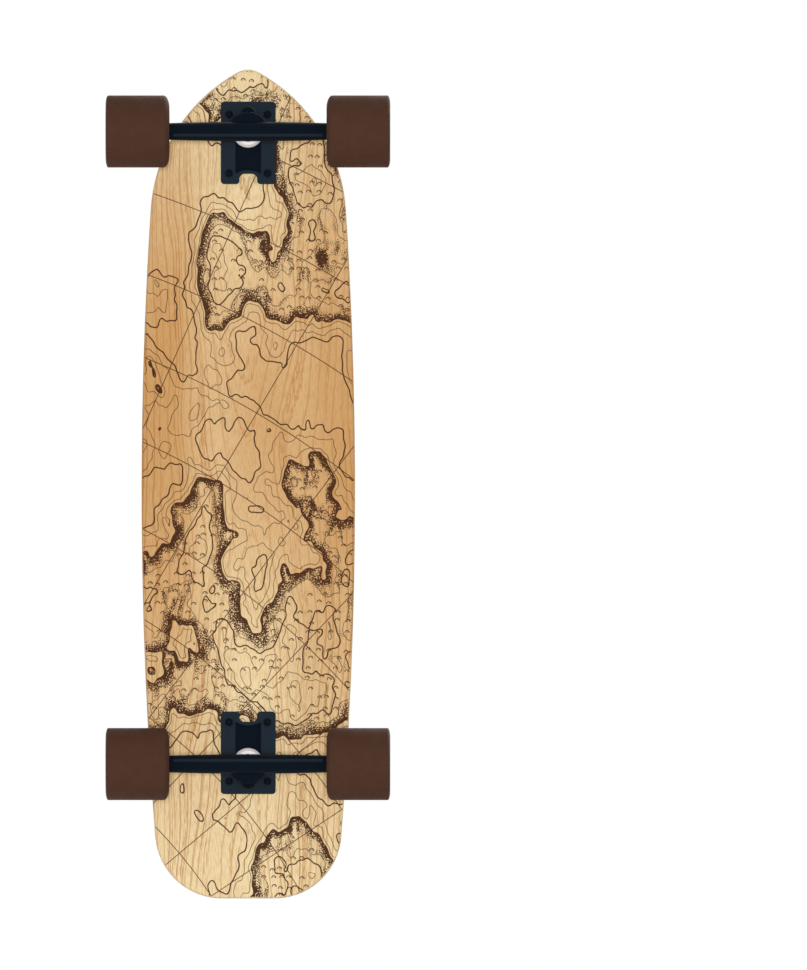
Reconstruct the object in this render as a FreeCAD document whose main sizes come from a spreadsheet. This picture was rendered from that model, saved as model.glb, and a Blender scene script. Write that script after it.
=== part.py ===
import FreeCAD, Part
import math
import os
import re

import Sketcher
from FreeCAD import Placement, Rotation, Vector

# Longboard, millimetres. Nose towards -Y, +Z up, floor at z = 0 under the middle of the deck.
# Each truck is drawn about the middle of its axle, with +Y towards the middle of the board,
# and the rear one is the same truck turned half round.

SIZES = {
    # Deck: flat middle, rails that curve up, an outline of tangent arcs
    "deck_length": 889.0,
    "deck_width": 229.0,
    "deck_thickness": 11.1,
    "deck_flat_width": 124.0,
    "rail_radius": 300.0,
    "deck_side_radius": 4685.0,
    "deck_widest_offset": 8.0,
    "tail_corner_radius": 72.0,
    "nose_flank_radius": 182.0,
    "nose_tip_radius": 24.0,
    "deck_edge_radius": 3.6,
    "nose_to_bolts": 79.8,
    "tail_to_bolts": 157.5,
    # Deck bolts and nuts
    "bolt_pitch_across": 41.3,
    "bolt_pitch_along": 63.5,
    "bolt_diameter": 4.8,
    "bolt_hole_play": 0.3,
    "bolt_head_diameter": 7.0,
    "bolt_head_sink": 0.2,
    "bolt_socket_width": 3.0,
    "bolt_socket_depth": 1.8,
    "bolt_end_past_nut": 1.0,
    "deck_nut_width": 8.0,
    "deck_nut_height": 4.2,
    "deck_nut_collar_diameter": 6.9,
    "deck_nut_collar_height": 1.5,
    # Riser pad and baseplate
    "riser_thickness": 5.0,
    "riser_inset": 0.6,
    "baseplate_width": 58.8,
    "baseplate_length": 88.4,
    "baseplate_past_axle": 32.7,
    "baseplate_corner_radius": 3.8,
    "baseplate_edge_radius": 1.4,
    "flange_thickness": 7.0,
    "boss_height": 6.5,
    "kingpin_boss_radius": 14.4,
    "pivot_boss_radius": 11.5,
    "channel_width": 27.4,
    "channel_depth": 4.0,
    "channel_rim": 3.7,
    "channel_end_radius": 26.0,
    "notch_width": 19.2,
    "notch_depth": 11.1,
    "notch_root_radius": 6.0,
    "notch_mouth_radius": 3.4,
    "axle_to_bolts": 12.7,
    # Kingpin stack, from the hanger's bar up to the baseplate
    "kingpin_offset": 1.0,
    "kingpin_diameter": 9.5,
    "kingpin_play": 0.1,
    "thread_fit": 0.03,
    "kingpin_to_bar": 3.2,
    "kingpin_past_nut": 1.2,
    "kingpin_nut_width": 14.3,
    "kingpin_nut_height": 7.0,
    "kingpin_head_width": 14.3,
    "kingpin_head_height": 6.0,
    "kingpin_head_play": 0.4,
    "washer_thickness": 1.6,
    "road_washer_radius": 9.6,
    "board_washer_radius": 11.0,
    "road_bushing_height": 11.0,
    "road_bushing_radius": 16.1,
    "road_bushing_end_radius": 12.6,
    "board_bushing_height": 13.0,
    "board_bushing_radius": 12.4,
    "board_bushing_end_radius": 10.8,
    "bushing_edge_radius": 1.2,
    "bushing_play": 0.25,
    # Hanger
    "bar_middle_radius": 10.4,
    "bar_barrel_radius": 2600.0,
    "hanger_width": 200.0,
    "ridge_radius": 1.5,
    "ridge_length": 160.0,
    "ridge_offset": 4.1,
    "ridge_rise": 0.6,
    "ring_thickness": 6.0,
    "ring_radius": 16.0,
    "ring_hole_radius": 6.6,
    "yoke_radius": 23.0,
    "yoke_offset": 2.1,
    "yoke_bore_radius": 17.2,
    "yoke_setback": 9.0,
    "yoke_floor_top": 9.0,
    "yoke_edge_radius": 1.6,
    "pivot_offset": 18.8,
    "pivot_above_seat": 2.2,
    "pivot_radius": 6.0,
    "pivot_neck_radius": 5.4,
    "pivot_knob_radius": 8.7,
    "pivot_knob_drop": 8.0,
    "pivot_knob_rounding": 4.0,
    "pivot_play": 0.08,
    "pivot_cup_wall": 2.2,
    "pivot_cup_fit": 0.02,
    "pivot_cup_flare": 1.4,
    # Axle, its nuts and the rings beside the bearings
    "axle_diameter": 8.0,
    "axle_fit": 0.03,
    "axle_past_nut": 1.6,
    "speed_ring_thickness": 1.0,
    "speed_ring_diameter": 11.6,
    "axle_nut_width": 12.7,
    "axle_nut_height": 4.8,
    "axle_nut_collar_diameter": 10.6,
    "axle_nut_collar_height": 1.7,
    # Bearings
    "bearing_diameter": 22.0,
    "bearing_width": 7.0,
    "inner_shoulder_diameter": 12.3,
    "outer_shoulder_diameter": 17.7,
    "ball_circle_diameter": 15.0,
    "ball_diameter": 3.9,
    "race_play": 0.05,
    "cage_inner_diameter": 13.1,
    "cage_outer_diameter": 16.9,
    "cage_below_balls": 0.9,
    "cage_above_balls": 2.6,
    "cage_play": 0.12,
    "shield_thickness": 0.3,
    "shield_inset": 0.3,
    "shield_inner_diameter": 12.7,
    "shield_fit": 0.02,
    "spacer_length": 10.0,
    "spacer_diameter": 11.0,
    # Wheels
    "wheel_diameter": 77.2,
    "wheel_width": 68.2,
    "wheel_gap": 168.2,
    "wheel_inner_edge_along": 5.8,
    "wheel_inner_edge_in": 12.0,
    "wheel_outer_edge_along": 3.0,
    "wheel_outer_edge_in": 11.0,
    "wheel_rim_rounding": 5.0,
    "wheel_face_rounding": 16.0,
    "core_diameter": 38.0,
    "core_fit": 0.02,
    "core_web_diameter": 17.6,
    "inner_recess_diameter": 44.0,
    "outer_recess_diameter": 46.0,
}
BALL_COUNT = 7

# Levels that follow from the sizes: heights above the axle, or distances out from the middle of
# the board along the axle.
LEVELS = {
    "axle_height": "wheel_diameter / 2",
    "kingpin_end": "bar_middle_radius + kingpin_to_bar",
    "kingpin_nut_base": "kingpin_end + kingpin_past_nut",
    "road_washer_base": "kingpin_nut_base + kingpin_nut_height",
    "road_bushing_base": "road_washer_base + washer_thickness",
    "ring_base": "road_bushing_base + road_bushing_height",
    "ring_top": "ring_base + ring_thickness",
    "board_washer_base": "ring_top + board_bushing_height",
    "seat": "board_washer_base + washer_thickness",
    "flange_base": "seat + boss_height",
    "baseplate_top": "flange_base + flange_thickness",
    "deck_base": "baseplate_top + riser_thickness",
    "deck_top": "deck_base + deck_thickness",
    "head_base": "baseplate_top - kingpin_head_height - kingpin_head_play",
    "pivot_height": "seat + pivot_above_seat",
    "inner_bearing": "hanger_width / 2 + speed_ring_thickness",
    "spacer_start": "inner_bearing + bearing_width",
    "outer_bearing": "spacer_start + spacer_length",
    "outer_ring_start": "outer_bearing + bearing_width",
    "axle_nut_base": "outer_ring_start + speed_ring_thickness",
    "axle_end": "axle_nut_base + axle_nut_height + axle_nut_collar_height + axle_past_nut",
    "wheel_inner_face": "wheel_gap / 2",
    "wheel_outer_face": "wheel_gap / 2 + wheel_width",
    "front_axle": "-deck_length / 2 + nose_to_bolts - axle_to_bolts",
    "rear_axle": "deck_length / 2 - tail_to_bolts + axle_to_bolts",
    "rail_run": "(deck_width - deck_flat_width) / 2",
    "rail_rise": "rail_radius - sqrt(rail_radius ^ 2 - rail_run ^ 2)",
    "deck_reach": "2 * deck_thickness + rail_rise",
    "plate_inner_end": "baseplate_length - baseplate_past_axle",
    "channel_end": "plate_inner_end - notch_depth - channel_rim",
    "channel_sag":
        "channel_end_radius - sqrt(channel_end_radius ^ 2 - (channel_width / 2) ^ 2)",
    "knob_base": "ring_base - pivot_knob_drop",
    "ridge_depth": "sqrt((bar_middle_radius + ridge_rise - ridge_radius) ^ 2 - ridge_offset ^ 2)",
    "ridge_sag": "bar_barrel_radius - sqrt(bar_barrel_radius ^ 2 - (ridge_length / 2) ^ 2)",
    "head_slant": "(bolt_head_diameter - bolt_diameter) / 2",
}

doc = FreeCAD.newDocument("Longboard")
sheet = doc.addObject("Spreadsheet::Sheet", "Sizes")
for row, (alias, size) in enumerate(SIZES.items(), start=1):
    sheet.set(f"A{row}", alias)
    sheet.set(f"B{row}", str(size))
    sheet.setAlias(f"B{row}", alias)
doc.recompute()

nodes = {}


def cells(text):
    """An expression in which every size and level is replaced by its cells."""
    def named(match):
        word = match[0]
        if word in LEVELS:
            return "(" + cells(LEVELS[word]) + ")"
        return "Sizes." + word if word in SIZES else word
    return re.sub(r"[a-z_]+", named, text)


def value(text):
    return float(sheet.evalExpression(cells(text)))


def bind(item, **sizes):
    for prop, text in sizes.items():
        item.setExpression(prop, cells(text))


def place(item, x="0", y="0", z="0", turn=None):
    """Put an item at a point given by expressions, turned by a fixed rotation."""
    item.Placement = Placement(Vector(value(x), value(y), value(z)), turn or Rotation())
    for axis, text in (("x", x), ("y", y), ("z", z)):
        item.setExpression(f"Placement.Base.{axis}", cells(text))


def origin_plane(body, role):
    return next(plane for plane in body.Origin.OriginFeatures if plane.Role == role)


def new_sketch(body, role, level="0"):
    sketch = body.newObject("Sketcher::SketchObject", "Outline")
    sketch.AttachmentSupport = (origin_plane(body, role), [""])
    sketch.MapMode = "FlatFace"
    sketch.setExpression("AttachmentOffset.Base.z", cells(level))
    return sketch


def pin(sketch, geometry, point, x=None, y=None):
    """Hold a point of a sketch at distances from the origin given by expressions."""
    for kind, text in (("DistanceX", x), ("DistanceY", y)):
        if text is None:
            continue
        if text == "0":
            axis = -2 if kind == "DistanceX" else -1
            sketch.addConstraint(Sketcher.Constraint("PointOnObject", geometry, point, axis))
            continue
        index = sketch.addConstraint(
            Sketcher.Constraint(kind, -1, 1, geometry, point, value(text)))
        sketch.setExpression(f"Constraints[{index}]", cells(text))


def draw_polygon(sketch, corners):
    """Closed outline with straight sides, its corners given by pairs of expressions."""
    points = [Vector(value(x), value(y), 0) for x, y in corners]
    for index, start in enumerate(points):
        sketch.addGeometry(Part.LineSegment(start, points[(index + 1) % len(points)]))
    for index, (x, y) in enumerate(corners):
        sketch.addConstraint(
            Sketcher.Constraint("Coincident", index - 1 if index else len(corners) - 1, 2, index, 1))
        pin(sketch, index, 1, x, y)


def arc(centre, radius, start, end):
    """Arc about a centre, anticlockwise from the direction of one point to that of another."""
    angles = [math.atan2(point.y - centre.y, point.x - centre.x) for point in (start, end)]
    if angles[1] < angles[0]:
        angles[1] += 2 * math.pi
    return Part.ArcOfCircle(Part.Circle(centre, Vector(0, 0, 1), radius), *angles)


def revolve(body, sketch):
    turn = body.newObject("PartDesign::Revolution", "Turning")
    turn.Profile = sketch
    turn.ReferenceAxis = (sketch, ["V_Axis"])
    turn.Angle = 360
    doc.recompute()


def turned(name, corners):
    """Body turned about its own Z axis from an outline of (radius, height) corners."""
    body = doc.addObject("PartDesign::Body", name)
    sketch = new_sketch(body, "XZ_Plane")
    draw_polygon(sketch, corners)
    revolve(body, sketch)
    return body


def round_edges(body, radius, wanted):
    """Fillet those edges of a body that the test picks."""
    base = body.Tip
    names = [f"Edge{index}" for index, edge in enumerate(base.Shape.Edges, start=1) if wanted(edge)]
    fillet = body.newObject("PartDesign::Fillet", "Rounding")
    fillet.Base = (base, names)
    bind(fillet, Radius=radius)
    doc.recompute()


def rim(radius, height):
    """Test for the circular edge of that radius and height on a turned body."""
    def wanted(edge):
        if not isinstance(edge.Curve, Part.Circle):
            return False
        same_radius = abs(edge.Curve.Radius - value(radius)) < 1e-4
        return same_radius and abs(edge.Curve.Center.z - value(height)) < 1e-4
    return wanted


def cylinder(name, radius, height, x="0", y="0", z="0", turn=None):
    item = doc.addObject("Part::Cylinder", name)
    bind(item, Radius=radius, Height=height)
    place(item, x, y, z, turn)
    return item


def box(name, length, width, height, x, y, z):
    item = doc.addObject("Part::Box", name)
    bind(item, Length=length, Width=width, Height=height)
    place(item, x, y, z)
    return item


def hexagon(name, width, height, z, x="0", y="0"):
    """Hexagonal prism, its width taken across the flats."""
    item = doc.addObject("Part::Prism", name)
    item.Polygon = 6
    bind(item, Circumradius=f"{width} / sqrt(3)", Height=height)
    place(item, x, y, z)
    return item


def joined(name, pieces):
    item = doc.addObject("Part::MultiFuse", name)
    item.Shapes = pieces
    item.Refine = True
    return item


def cut(name, base, tool):
    item = doc.addObject("Part::Cut", name)
    item.Base = base
    item.Tool = tool
    item.Refine = True
    return item


def common(name, base, tool):
    item = doc.addObject("Part::Common", name)
    item.Base = base
    item.Tool = tool
    return item


def group(name, pieces):
    item = doc.addObject("Part::Compound", name)
    item.Links = pieces
    return item


def keep(label, item):
    """Name a finished sub-part."""
    item.Label = label
    nodes[label] = item


# Deck

def meeting(first, first_reach, second, second_reach):
    """The points at two given distances from two centres."""
    span = second - first
    along = (first_reach ** 2 - second_reach ** 2 + span.Length ** 2) / (2 * span.Length)
    across = math.sqrt(first_reach ** 2 - along ** 2)
    unit = span / span.Length
    normal = Vector(-unit.y, unit.x, 0)
    return [first + unit * along + normal * side * across for side in (1, -1)]


def draw_deck_outline(sketch):
    """Nose tip, then flank, side and tail corner on each hand, and a straight tail end."""
    half_length = value("deck_length / 2")
    side_radius = value("deck_side_radius")
    corner_radius = value("tail_corner_radius")
    flank_radius = value("nose_flank_radius")
    tip_radius = value("nose_tip_radius")
    side = Vector(value("deck_width / 2") - side_radius, value("deck_widest_offset"), 0)
    tip = Vector(0, tip_radius - half_length, 0)
    flank = max(meeting(side, side_radius - flank_radius, tip, flank_radius - tip_radius),
                key=lambda point: point.y)
    corner_rise = half_length - corner_radius - side.y
    corner = side + Vector(math.sqrt((side_radius - corner_radius) ** 2 - corner_rise ** 2),
                           corner_rise, 0)
    tip_end = flank + (tip - flank).normalize() * flank_radius
    flank_end = side + (flank - side).normalize() * side_radius
    side_end = side + (corner - side).normalize() * side_radius
    corner_end = corner + Vector(0, corner_radius, 0)

    def other(point):
        return Vector(-point.x, point.y, 0)

    curves = [
        arc(tip, tip_radius, other(tip_end), tip_end),
        arc(flank, flank_radius, tip_end, flank_end),
        arc(side, side_radius, flank_end, side_end),
        arc(corner, corner_radius, side_end, corner_end),
        Part.LineSegment(corner_end, other(corner_end)),
        arc(other(corner), corner_radius, other(corner_end), other(side_end)),
        arc(other(side), side_radius, other(side_end), other(flank_end)),
        arc(other(flank), flank_radius, other(flank_end), other(tip_end)),
    ]
    for curve in curves:
        sketch.addGeometry(curve)
    for index in range(len(curves)):
        sketch.addConstraint(
            Sketcher.Constraint("Tangent", index, 2, (index + 1) % len(curves), 1))
    radii = {0: "nose_tip_radius", 1: "nose_flank_radius", 2: "deck_side_radius",
             3: "tail_corner_radius", 5: "tail_corner_radius", 6: "deck_side_radius",
             7: "nose_flank_radius"}
    for index, text in radii.items():
        number = sketch.addConstraint(Sketcher.Constraint("Radius", index, value(text)))
        sketch.setExpression(f"Constraints[{number}]", cells(text))
    pin(sketch, 0, 3, "0", "nose_tip_radius - deck_length / 2")
    pin(sketch, 2, 3, "deck_width / 2 - deck_side_radius", "deck_widest_offset")
    pin(sketch, 6, 3, "deck_side_radius - deck_width / 2", "deck_widest_offset")
    sketch.addConstraint(Sketcher.Constraint("Horizontal", 4))
    pin(sketch, 4, 1, None, "deck_length / 2")


def make_deck():
    level = "axle_height + deck_base"
    rails = []
    rail_length = "deck_length + 2 * deck_thickness"
    start = "-deck_length / 2 - deck_thickness"
    along_y = Rotation(Vector(1, 0, 0), -90)
    middle = box("DeckMiddle", "deck_flat_width", rail_length, "deck_thickness",
                 "-deck_flat_width / 2", start, level)
    for hand, sign in (("Right", ""), ("Left", "-")):
        centre = (f"{sign}deck_flat_width / 2", start, f"{level} + rail_radius")
        skin = cylinder(f"Rail{hand}", "rail_radius", rail_length, *centre, along_y)
        bore = cylinder(f"RailBore{hand}", "rail_radius - deck_thickness", rail_length,
                        *centre, along_y)
        side = box(f"RailSide{hand}", "deck_width / 2", rail_length, "deck_reach",
                   "deck_flat_width / 2" if hand == "Right" else
                   "-deck_flat_width / 2 - deck_width / 2", start, level)
        rails.append(common(f"RailPart{hand}", cut(f"RailShell{hand}", skin, bore), side))
    slab = joined("DeckSlab", [middle] + rails)
    outline = doc.addObject("PartDesign::Body", "DeckOutline")
    sketch = new_sketch(outline, "XY_Plane", level)
    draw_deck_outline(sketch)
    pad = outline.newObject("PartDesign::Pad", "DeckHeight")
    pad.Profile = sketch
    bind(pad, Length="deck_reach")
    blank = common("DeckBlank", slab, outline)
    doc.recompute()
    rounded = doc.addObject("Part::Fillet", "DeckRounded")
    rounded.Base = blank
    radius = value("deck_edge_radius")

    def on_rim(edge):
        middle_point = edge.valueAt((edge.FirstParameter + edge.LastParameter) / 2)
        tangent = edge.tangentAt((edge.FirstParameter + edge.LastParameter) / 2)
        inside = abs(abs(middle_point.x) - value("deck_flat_width / 2")) < 1e-3
        upright = abs(tangent.z) > 0.9
        return not upright and not (inside and abs(tangent.y) > 0.999 and edge.Length > radius)

    rounded.Edges = [(index, radius, radius)
                     for index, edge in enumerate(blank.Shape.Edges, start=1) if on_rim(edge)]
    doc.recompute()
    holes = []
    for end, axle, way in (("Front", "front_axle", "+"), ("Rear", "rear_axle", "-")):
        for across in ("+", "-"):
            for along in ("+", "-"):
                name = f"{end}{len(holes)}"
                x = f"{across}bolt_pitch_across / 2"
                y = f"{axle} {way} axle_to_bolts {along} bolt_pitch_along / 2"
                holes.append(cylinder(f"DeckHole{name}", "bolt_diameter / 2 + bolt_hole_play",
                                      "deck_thickness", x, y, level))
                sink = doc.addObject("Part::Cone", f"DeckSink{name}")
                bind(sink, Radius1="bolt_diameter / 2 + bolt_hole_play",
                     Radius2="bolt_head_diameter / 2 + bolt_hole_play", Height="head_slant")
                place(sink, x, y, "axle_height + deck_top - bolt_head_sink - head_slant")
                lip = cylinder(f"DeckLip{name}", "bolt_head_diameter / 2 + bolt_hole_play",
                               "bolt_head_sink", x, y, "axle_height + deck_top - bolt_head_sink")
                holes += [sink, lip]
    keep("deck", cut("Deck", rounded, joined("DeckHoles", holes)))


make_deck()


# Trucks

HALF_TURN = Rotation(Vector(0, 0, 1), 180)
ALONG_X = Rotation(Vector(0, 1, 0), 90)
HANDS = (("Right", ALONG_X), ("Left", ALONG_X.inverted()))


def bolt_spots():
    for across in ("+", "-"):
        for along in ("+", "-"):
            yield (f"{across}bolt_pitch_across / 2",
                   f"axle_to_bolts {along} bolt_pitch_along / 2")


def upright_at(x, y):
    """Test for the upright edges at a distance to either hand and a distance along."""
    def wanted(edge):
        point = edge.Vertexes[0].Point
        upright = abs(edge.tangentAt(edge.FirstParameter).z) > 0.9
        return upright and abs(abs(point.x) - value(x)) < 1e-4 and abs(point.y - value(y)) < 1e-4
    return wanted


def plate(name, inset, thickness, level):
    """Rounded plate over the truck's footprint, with a round notch in its inner end."""
    body = doc.addObject("PartDesign::Body", name)
    sketch = new_sketch(body, "XY_Plane", level)
    half = f"(baseplate_width / 2 - {inset})"
    outer = f"(-baseplate_past_axle + {inset})"
    inner = f"(plate_inner_end - {inset})"
    mouth = f"(notch_width / 2 + {inset})"
    root = f"({inner} - notch_depth)"
    draw_polygon(sketch, [(f"-{half}", outer), (half, outer), (half, inner), (mouth, inner),
                          (mouth, root), (f"-{mouth}", root), (f"-{mouth}", inner),
                          (f"-{half}", inner)])
    pad = body.newObject("PartDesign::Pad", "Thickness")
    pad.Profile = sketch
    bind(pad, Length=thickness)
    doc.recompute()
    outer_corner = upright_at(half, outer)
    inner_corner = upright_at(half, inner)
    round_edges(body, "baseplate_corner_radius",
                lambda edge: outer_corner(edge) or inner_corner(edge))
    round_edges(body, "notch_mouth_radius", upright_at(mouth, inner))
    round_edges(body, "notch_root_radius", upright_at(mouth, root))
    return body


def make_riser(end):
    pad = plate(f"{end}RiserPad", "riser_inset", "riser_thickness", "baseplate_top")
    holes = [cylinder(f"{end}RiserHole", "bolt_diameter / 2 + bolt_hole_play", "riser_thickness",
                      x, y, "baseplate_top") for x, y in bolt_spots()]
    return cut(f"{end}Riser", pad, joined(f"{end}RiserHoles", holes))


def make_baseplate(end):
    flange = plate(f"{end}Flange", "0", "flange_thickness", "flange_base")
    road_face = value("flange_base")
    round_edges(flange, "baseplate_edge_radius",
                lambda edge: abs(edge.BoundBox.ZMax - road_face) < 1e-4)
    trough = box(f"{end}Trough", "channel_width", "channel_end + channel_sag - kingpin_offset",
                 "channel_depth", "-channel_width / 2", "kingpin_offset", "flange_base")
    arch = cylinder(f"{end}TroughEnd", "channel_end_radius", "channel_depth",
                    "0", "channel_end + channel_end_radius", "flange_base")
    cleared = cut(f"{end}FlangeCleared", flange, cut(f"{end}Channel", trough, arch))
    seat_boss = cylinder(f"{end}SeatBoss", "kingpin_boss_radius", "boss_height + channel_depth",
                         "0", "kingpin_offset", "seat")
    pivot_boss = cylinder(f"{end}PivotBoss", "pivot_boss_radius", "boss_height + channel_depth",
                          "0", "-pivot_offset", "seat")
    solid = joined(f"{end}BaseplateSolid", [cleared, seat_boss, pivot_boss])
    holes = [cylinder(f"{end}BaseplateHole", "bolt_diameter / 2 + bolt_hole_play",
                      "flange_thickness", x, y, "flange_base") for x, y in bolt_spots()]
    holes.append(cylinder(f"{end}KingpinHole", "kingpin_diameter / 2 + kingpin_play",
                          "boss_height + flange_thickness", "0", "kingpin_offset", "seat"))
    holes.append(hexagon(f"{end}HeadRecess", "(kingpin_head_width + kingpin_head_play)",
                         "kingpin_head_height + kingpin_head_play", "head_base",
                         y="kingpin_offset"))
    holes.append(cylinder(f"{end}CupBore", "pivot_radius + pivot_cup_wall + pivot_cup_fit",
                          "pivot_above_seat + pivot_radius + pivot_cup_wall + pivot_cup_fit",
                          "0", "-pivot_offset", "seat"))
    return cut(f"{end}Baseplate", solid, joined(f"{end}BaseplateHoles", holes))


def make_pivot_cup(end):
    """Dark cup with a ball-shaped hollow and a flared mouth."""
    outside = cylinder(f"{end}CupOutside", "pivot_radius + pivot_cup_wall",
                       "pivot_above_seat + pivot_radius + pivot_cup_wall",
                       "0", "-pivot_offset", "seat")
    hollow = doc.addObject("Part::Sphere", f"{end}CupHollow")
    bind(hollow, Radius="pivot_radius + pivot_play")
    place(hollow, "0", "-pivot_offset", "pivot_height")
    mouth = doc.addObject("Part::Cone", f"{end}CupMouth")
    bind(mouth, Radius1="pivot_radius + pivot_cup_flare", Radius2="pivot_radius + pivot_play",
         Height="pivot_above_seat")
    place(mouth, "0", "-pivot_offset", "seat")
    return cut(f"{end}PivotCup", outside, joined(f"{end}CupInside", [hollow, mouth]))


def make_kingpin(end):
    shank = cylinder(f"{end}KingpinShank", "kingpin_diameter / 2",
                     "head_base + kingpin_head_height - kingpin_end",
                     "0", "kingpin_offset", "kingpin_end")
    head = hexagon(f"{end}KingpinHead", "kingpin_head_width", "kingpin_head_height", "head_base",
                   y="kingpin_offset")
    return joined(f"{end}Kingpin", [shank, head])


def make_kingpin_nut(end):
    block = hexagon(f"{end}KingpinNutBlock", "kingpin_nut_width", "kingpin_nut_height",
                    "kingpin_nut_base", y="kingpin_offset")
    bore = cylinder(f"{end}KingpinNutBore", "kingpin_diameter / 2 + thread_fit", "kingpin_nut_height",
                    "0", "kingpin_offset", "kingpin_nut_base")
    return cut(f"{end}KingpinNut", block, bore)


def make_bushings(end):
    bore = "kingpin_diameter / 2 + bushing_play"
    road_top = "road_bushing_base + road_bushing_height"
    road = turned(f"{end}RoadBushing", [(bore, "road_bushing_base"),
                                        ("road_bushing_end_radius", "road_bushing_base"),
                                        ("road_bushing_radius", road_top), (bore, road_top)])
    round_edges(road, "bushing_edge_radius", rim("road_bushing_radius", road_top))
    board = turned(f"{end}BoardBushing", [(bore, "ring_top"), ("board_bushing_radius", "ring_top"),
                                          ("board_bushing_end_radius", "board_washer_base"),
                                          (bore, "board_washer_base")])
    round_edges(board, "bushing_edge_radius", rim("board_bushing_radius", "ring_top"))
    return road, board


def make_washers(end):
    pieces = []
    for name, radius, base in (("Road", "road_washer_radius", "road_washer_base"),
                               ("Board", "board_washer_radius", "board_washer_base")):
        bore = "kingpin_diameter / 2 + kingpin_play"
        washer = turned(f"{end}{name}Washer", [(bore, base), (radius, base),
                                               (radius, f"{base} + washer_thickness"),
                                               (bore, f"{base} + washer_thickness")])
        place(washer, "0", "kingpin_offset")
        pieces.append(washer)
    return group(f"{end}BushingWashers", pieces)


def make_bar(name):
    """Round bar, thickest in the middle, its outline one long arc."""
    body = doc.addObject("PartDesign::Body", name)
    sketch = new_sketch(body, "XZ_Plane")
    half = "hanger_width / 2"
    centre = Vector(value("bar_middle_radius - bar_barrel_radius"), 0, 0)
    end_radius = centre.x + value(f"sqrt(bar_barrel_radius ^ 2 - ({half}) ^ 2)")
    near = [Vector(x, -value(half), 0) for x in (0, end_radius)]
    far = [Vector(x, value(half), 0) for x in (0, end_radius)]
    for first, second in ((near[0], near[1]), (far[1], far[0]), (far[0], near[0])):
        sketch.addGeometry(Part.LineSegment(first, second))
    sketch.addGeometry(arc(centre, value("bar_barrel_radius"), near[1], far[1]))
    for joint in ((0, 2, 3, 1), (3, 2, 1, 1), (1, 2, 2, 1), (2, 2, 0, 1)):
        sketch.addConstraint(Sketcher.Constraint("Coincident", *joint))
    pin(sketch, 0, 1, "0", f"-{half}")
    pin(sketch, 0, 2, None, f"-{half}")
    pin(sketch, 1, 1, None, half)
    pin(sketch, 1, 2, "0", half)
    pin(sketch, 3, 3, "bar_middle_radius - bar_barrel_radius", "0")
    number = sketch.addConstraint(Sketcher.Constraint("Radius", 3, value("bar_barrel_radius")))
    sketch.setExpression(f"Constraints[{number}]", cells("bar_barrel_radius"))
    revolve(body, sketch)
    place(body, turn=ALONG_X)
    return body


def make_ridge(end):
    """Thin rib that follows the bar's road side."""
    hoop = doc.addObject("Part::Torus", f"{end}RidgeHoop")
    bind(hoop, Radius1="bar_barrel_radius", Radius2="ridge_radius")
    place(hoop, "0", "ridge_offset", "bar_barrel_radius - ridge_depth",
          Rotation(Vector(1, 0, 0), 90))
    window = box(f"{end}RidgeWindow", "ridge_length", "4 * ridge_radius",
                 "4 * ridge_radius + ridge_sag", "-ridge_length / 2",
                 "ridge_offset - 2 * ridge_radius", "-ridge_depth - 2 * ridge_radius")
    return common(f"{end}Ridge", hoop, window)


def make_hanger(end):
    """Bar with a yoke that rises outboard of the kingpin to a ring and a ball pivot."""
    column = turned(f"{end}YokeColumn", [("0", "0"), ("yoke_radius", "0"),
                                         ("yoke_radius", "ring_top"), ("0", "ring_top")])
    low_rim = rim("yoke_radius", "0")
    high_rim = rim("yoke_radius", "ring_top")
    round_edges(column, "yoke_edge_radius", lambda edge: low_rim(edge) or high_rim(edge))
    place(column, "0", "yoke_offset")
    hollow = cylinder(f"{end}YokeHollow", "yoke_bore_radius", "ring_base - yoke_floor_top",
                      "0", "kingpin_offset", "yoke_floor_top")
    front = box(f"{end}YokeFront", "2 * yoke_radius", "2 * yoke_radius", "ring_top",
                "-yoke_radius", "-yoke_setback", "yoke_floor_top")
    inner = box(f"{end}YokeInner", "2 * yoke_radius", "2 * yoke_radius", "ring_top",
                "-yoke_radius", "0", "0")
    yoke = cut(f"{end}Yoke", column, joined(f"{end}YokeGap", [hollow, front, inner]))
    ring = cylinder(f"{end}Ring", "ring_radius", "ring_thickness",
                    "0", "kingpin_offset", "ring_base")
    post = turned(f"{end}PivotPost", [
        ("0", "knob_base"), ("pivot_knob_radius", "knob_base"), ("pivot_knob_radius", "ring_top"),
        ("pivot_neck_radius", "ring_top"), ("pivot_neck_radius", "pivot_height"),
        ("0", "pivot_height")])
    round_edges(post, "pivot_knob_rounding", rim("pivot_knob_radius", "knob_base"))
    place(post, "0", "-pivot_offset")
    arm = cut(f"{end}PivotArm", post, hollow)
    ball = doc.addObject("Part::Sphere", f"{end}PivotBall")
    bind(ball, Radius="pivot_radius")
    place(ball, "0", "-pivot_offset", "pivot_height")
    solid = joined(f"{end}HangerSolid", [make_bar(f"{end}Bar"), make_ridge(end), yoke, ring,
                                         arm, ball])
    bore = cylinder(f"{end}AxleBore", "axle_diameter / 2 + axle_fit", "hanger_width",
                    "-hanger_width / 2", turn=ALONG_X)
    hole = cylinder(f"{end}RingHole", "ring_hole_radius", "ring_thickness",
                    "0", "kingpin_offset", "ring_base")
    return cut(f"{end}Hanger", solid, joined(f"{end}HangerHoles", [bore, hole]))


def make_axle(end):
    return cylinder(f"{end}Axle", "axle_diameter / 2", "2 * axle_end", "-axle_end", turn=ALONG_X)


def tube_pair(name, inner, outer, start, length):
    """Two equal tubes on the axle, one on each hand."""
    tubes = []
    for hand, turn in HANDS:
        tube = turned(f"{name}{hand}", [(inner, start), (outer, start),
                                        (outer, f"{start} + {length}"),
                                        (inner, f"{start} + {length}")])
        place(tube, turn=turn)
        tubes.append(tube)
    return tubes


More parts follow.
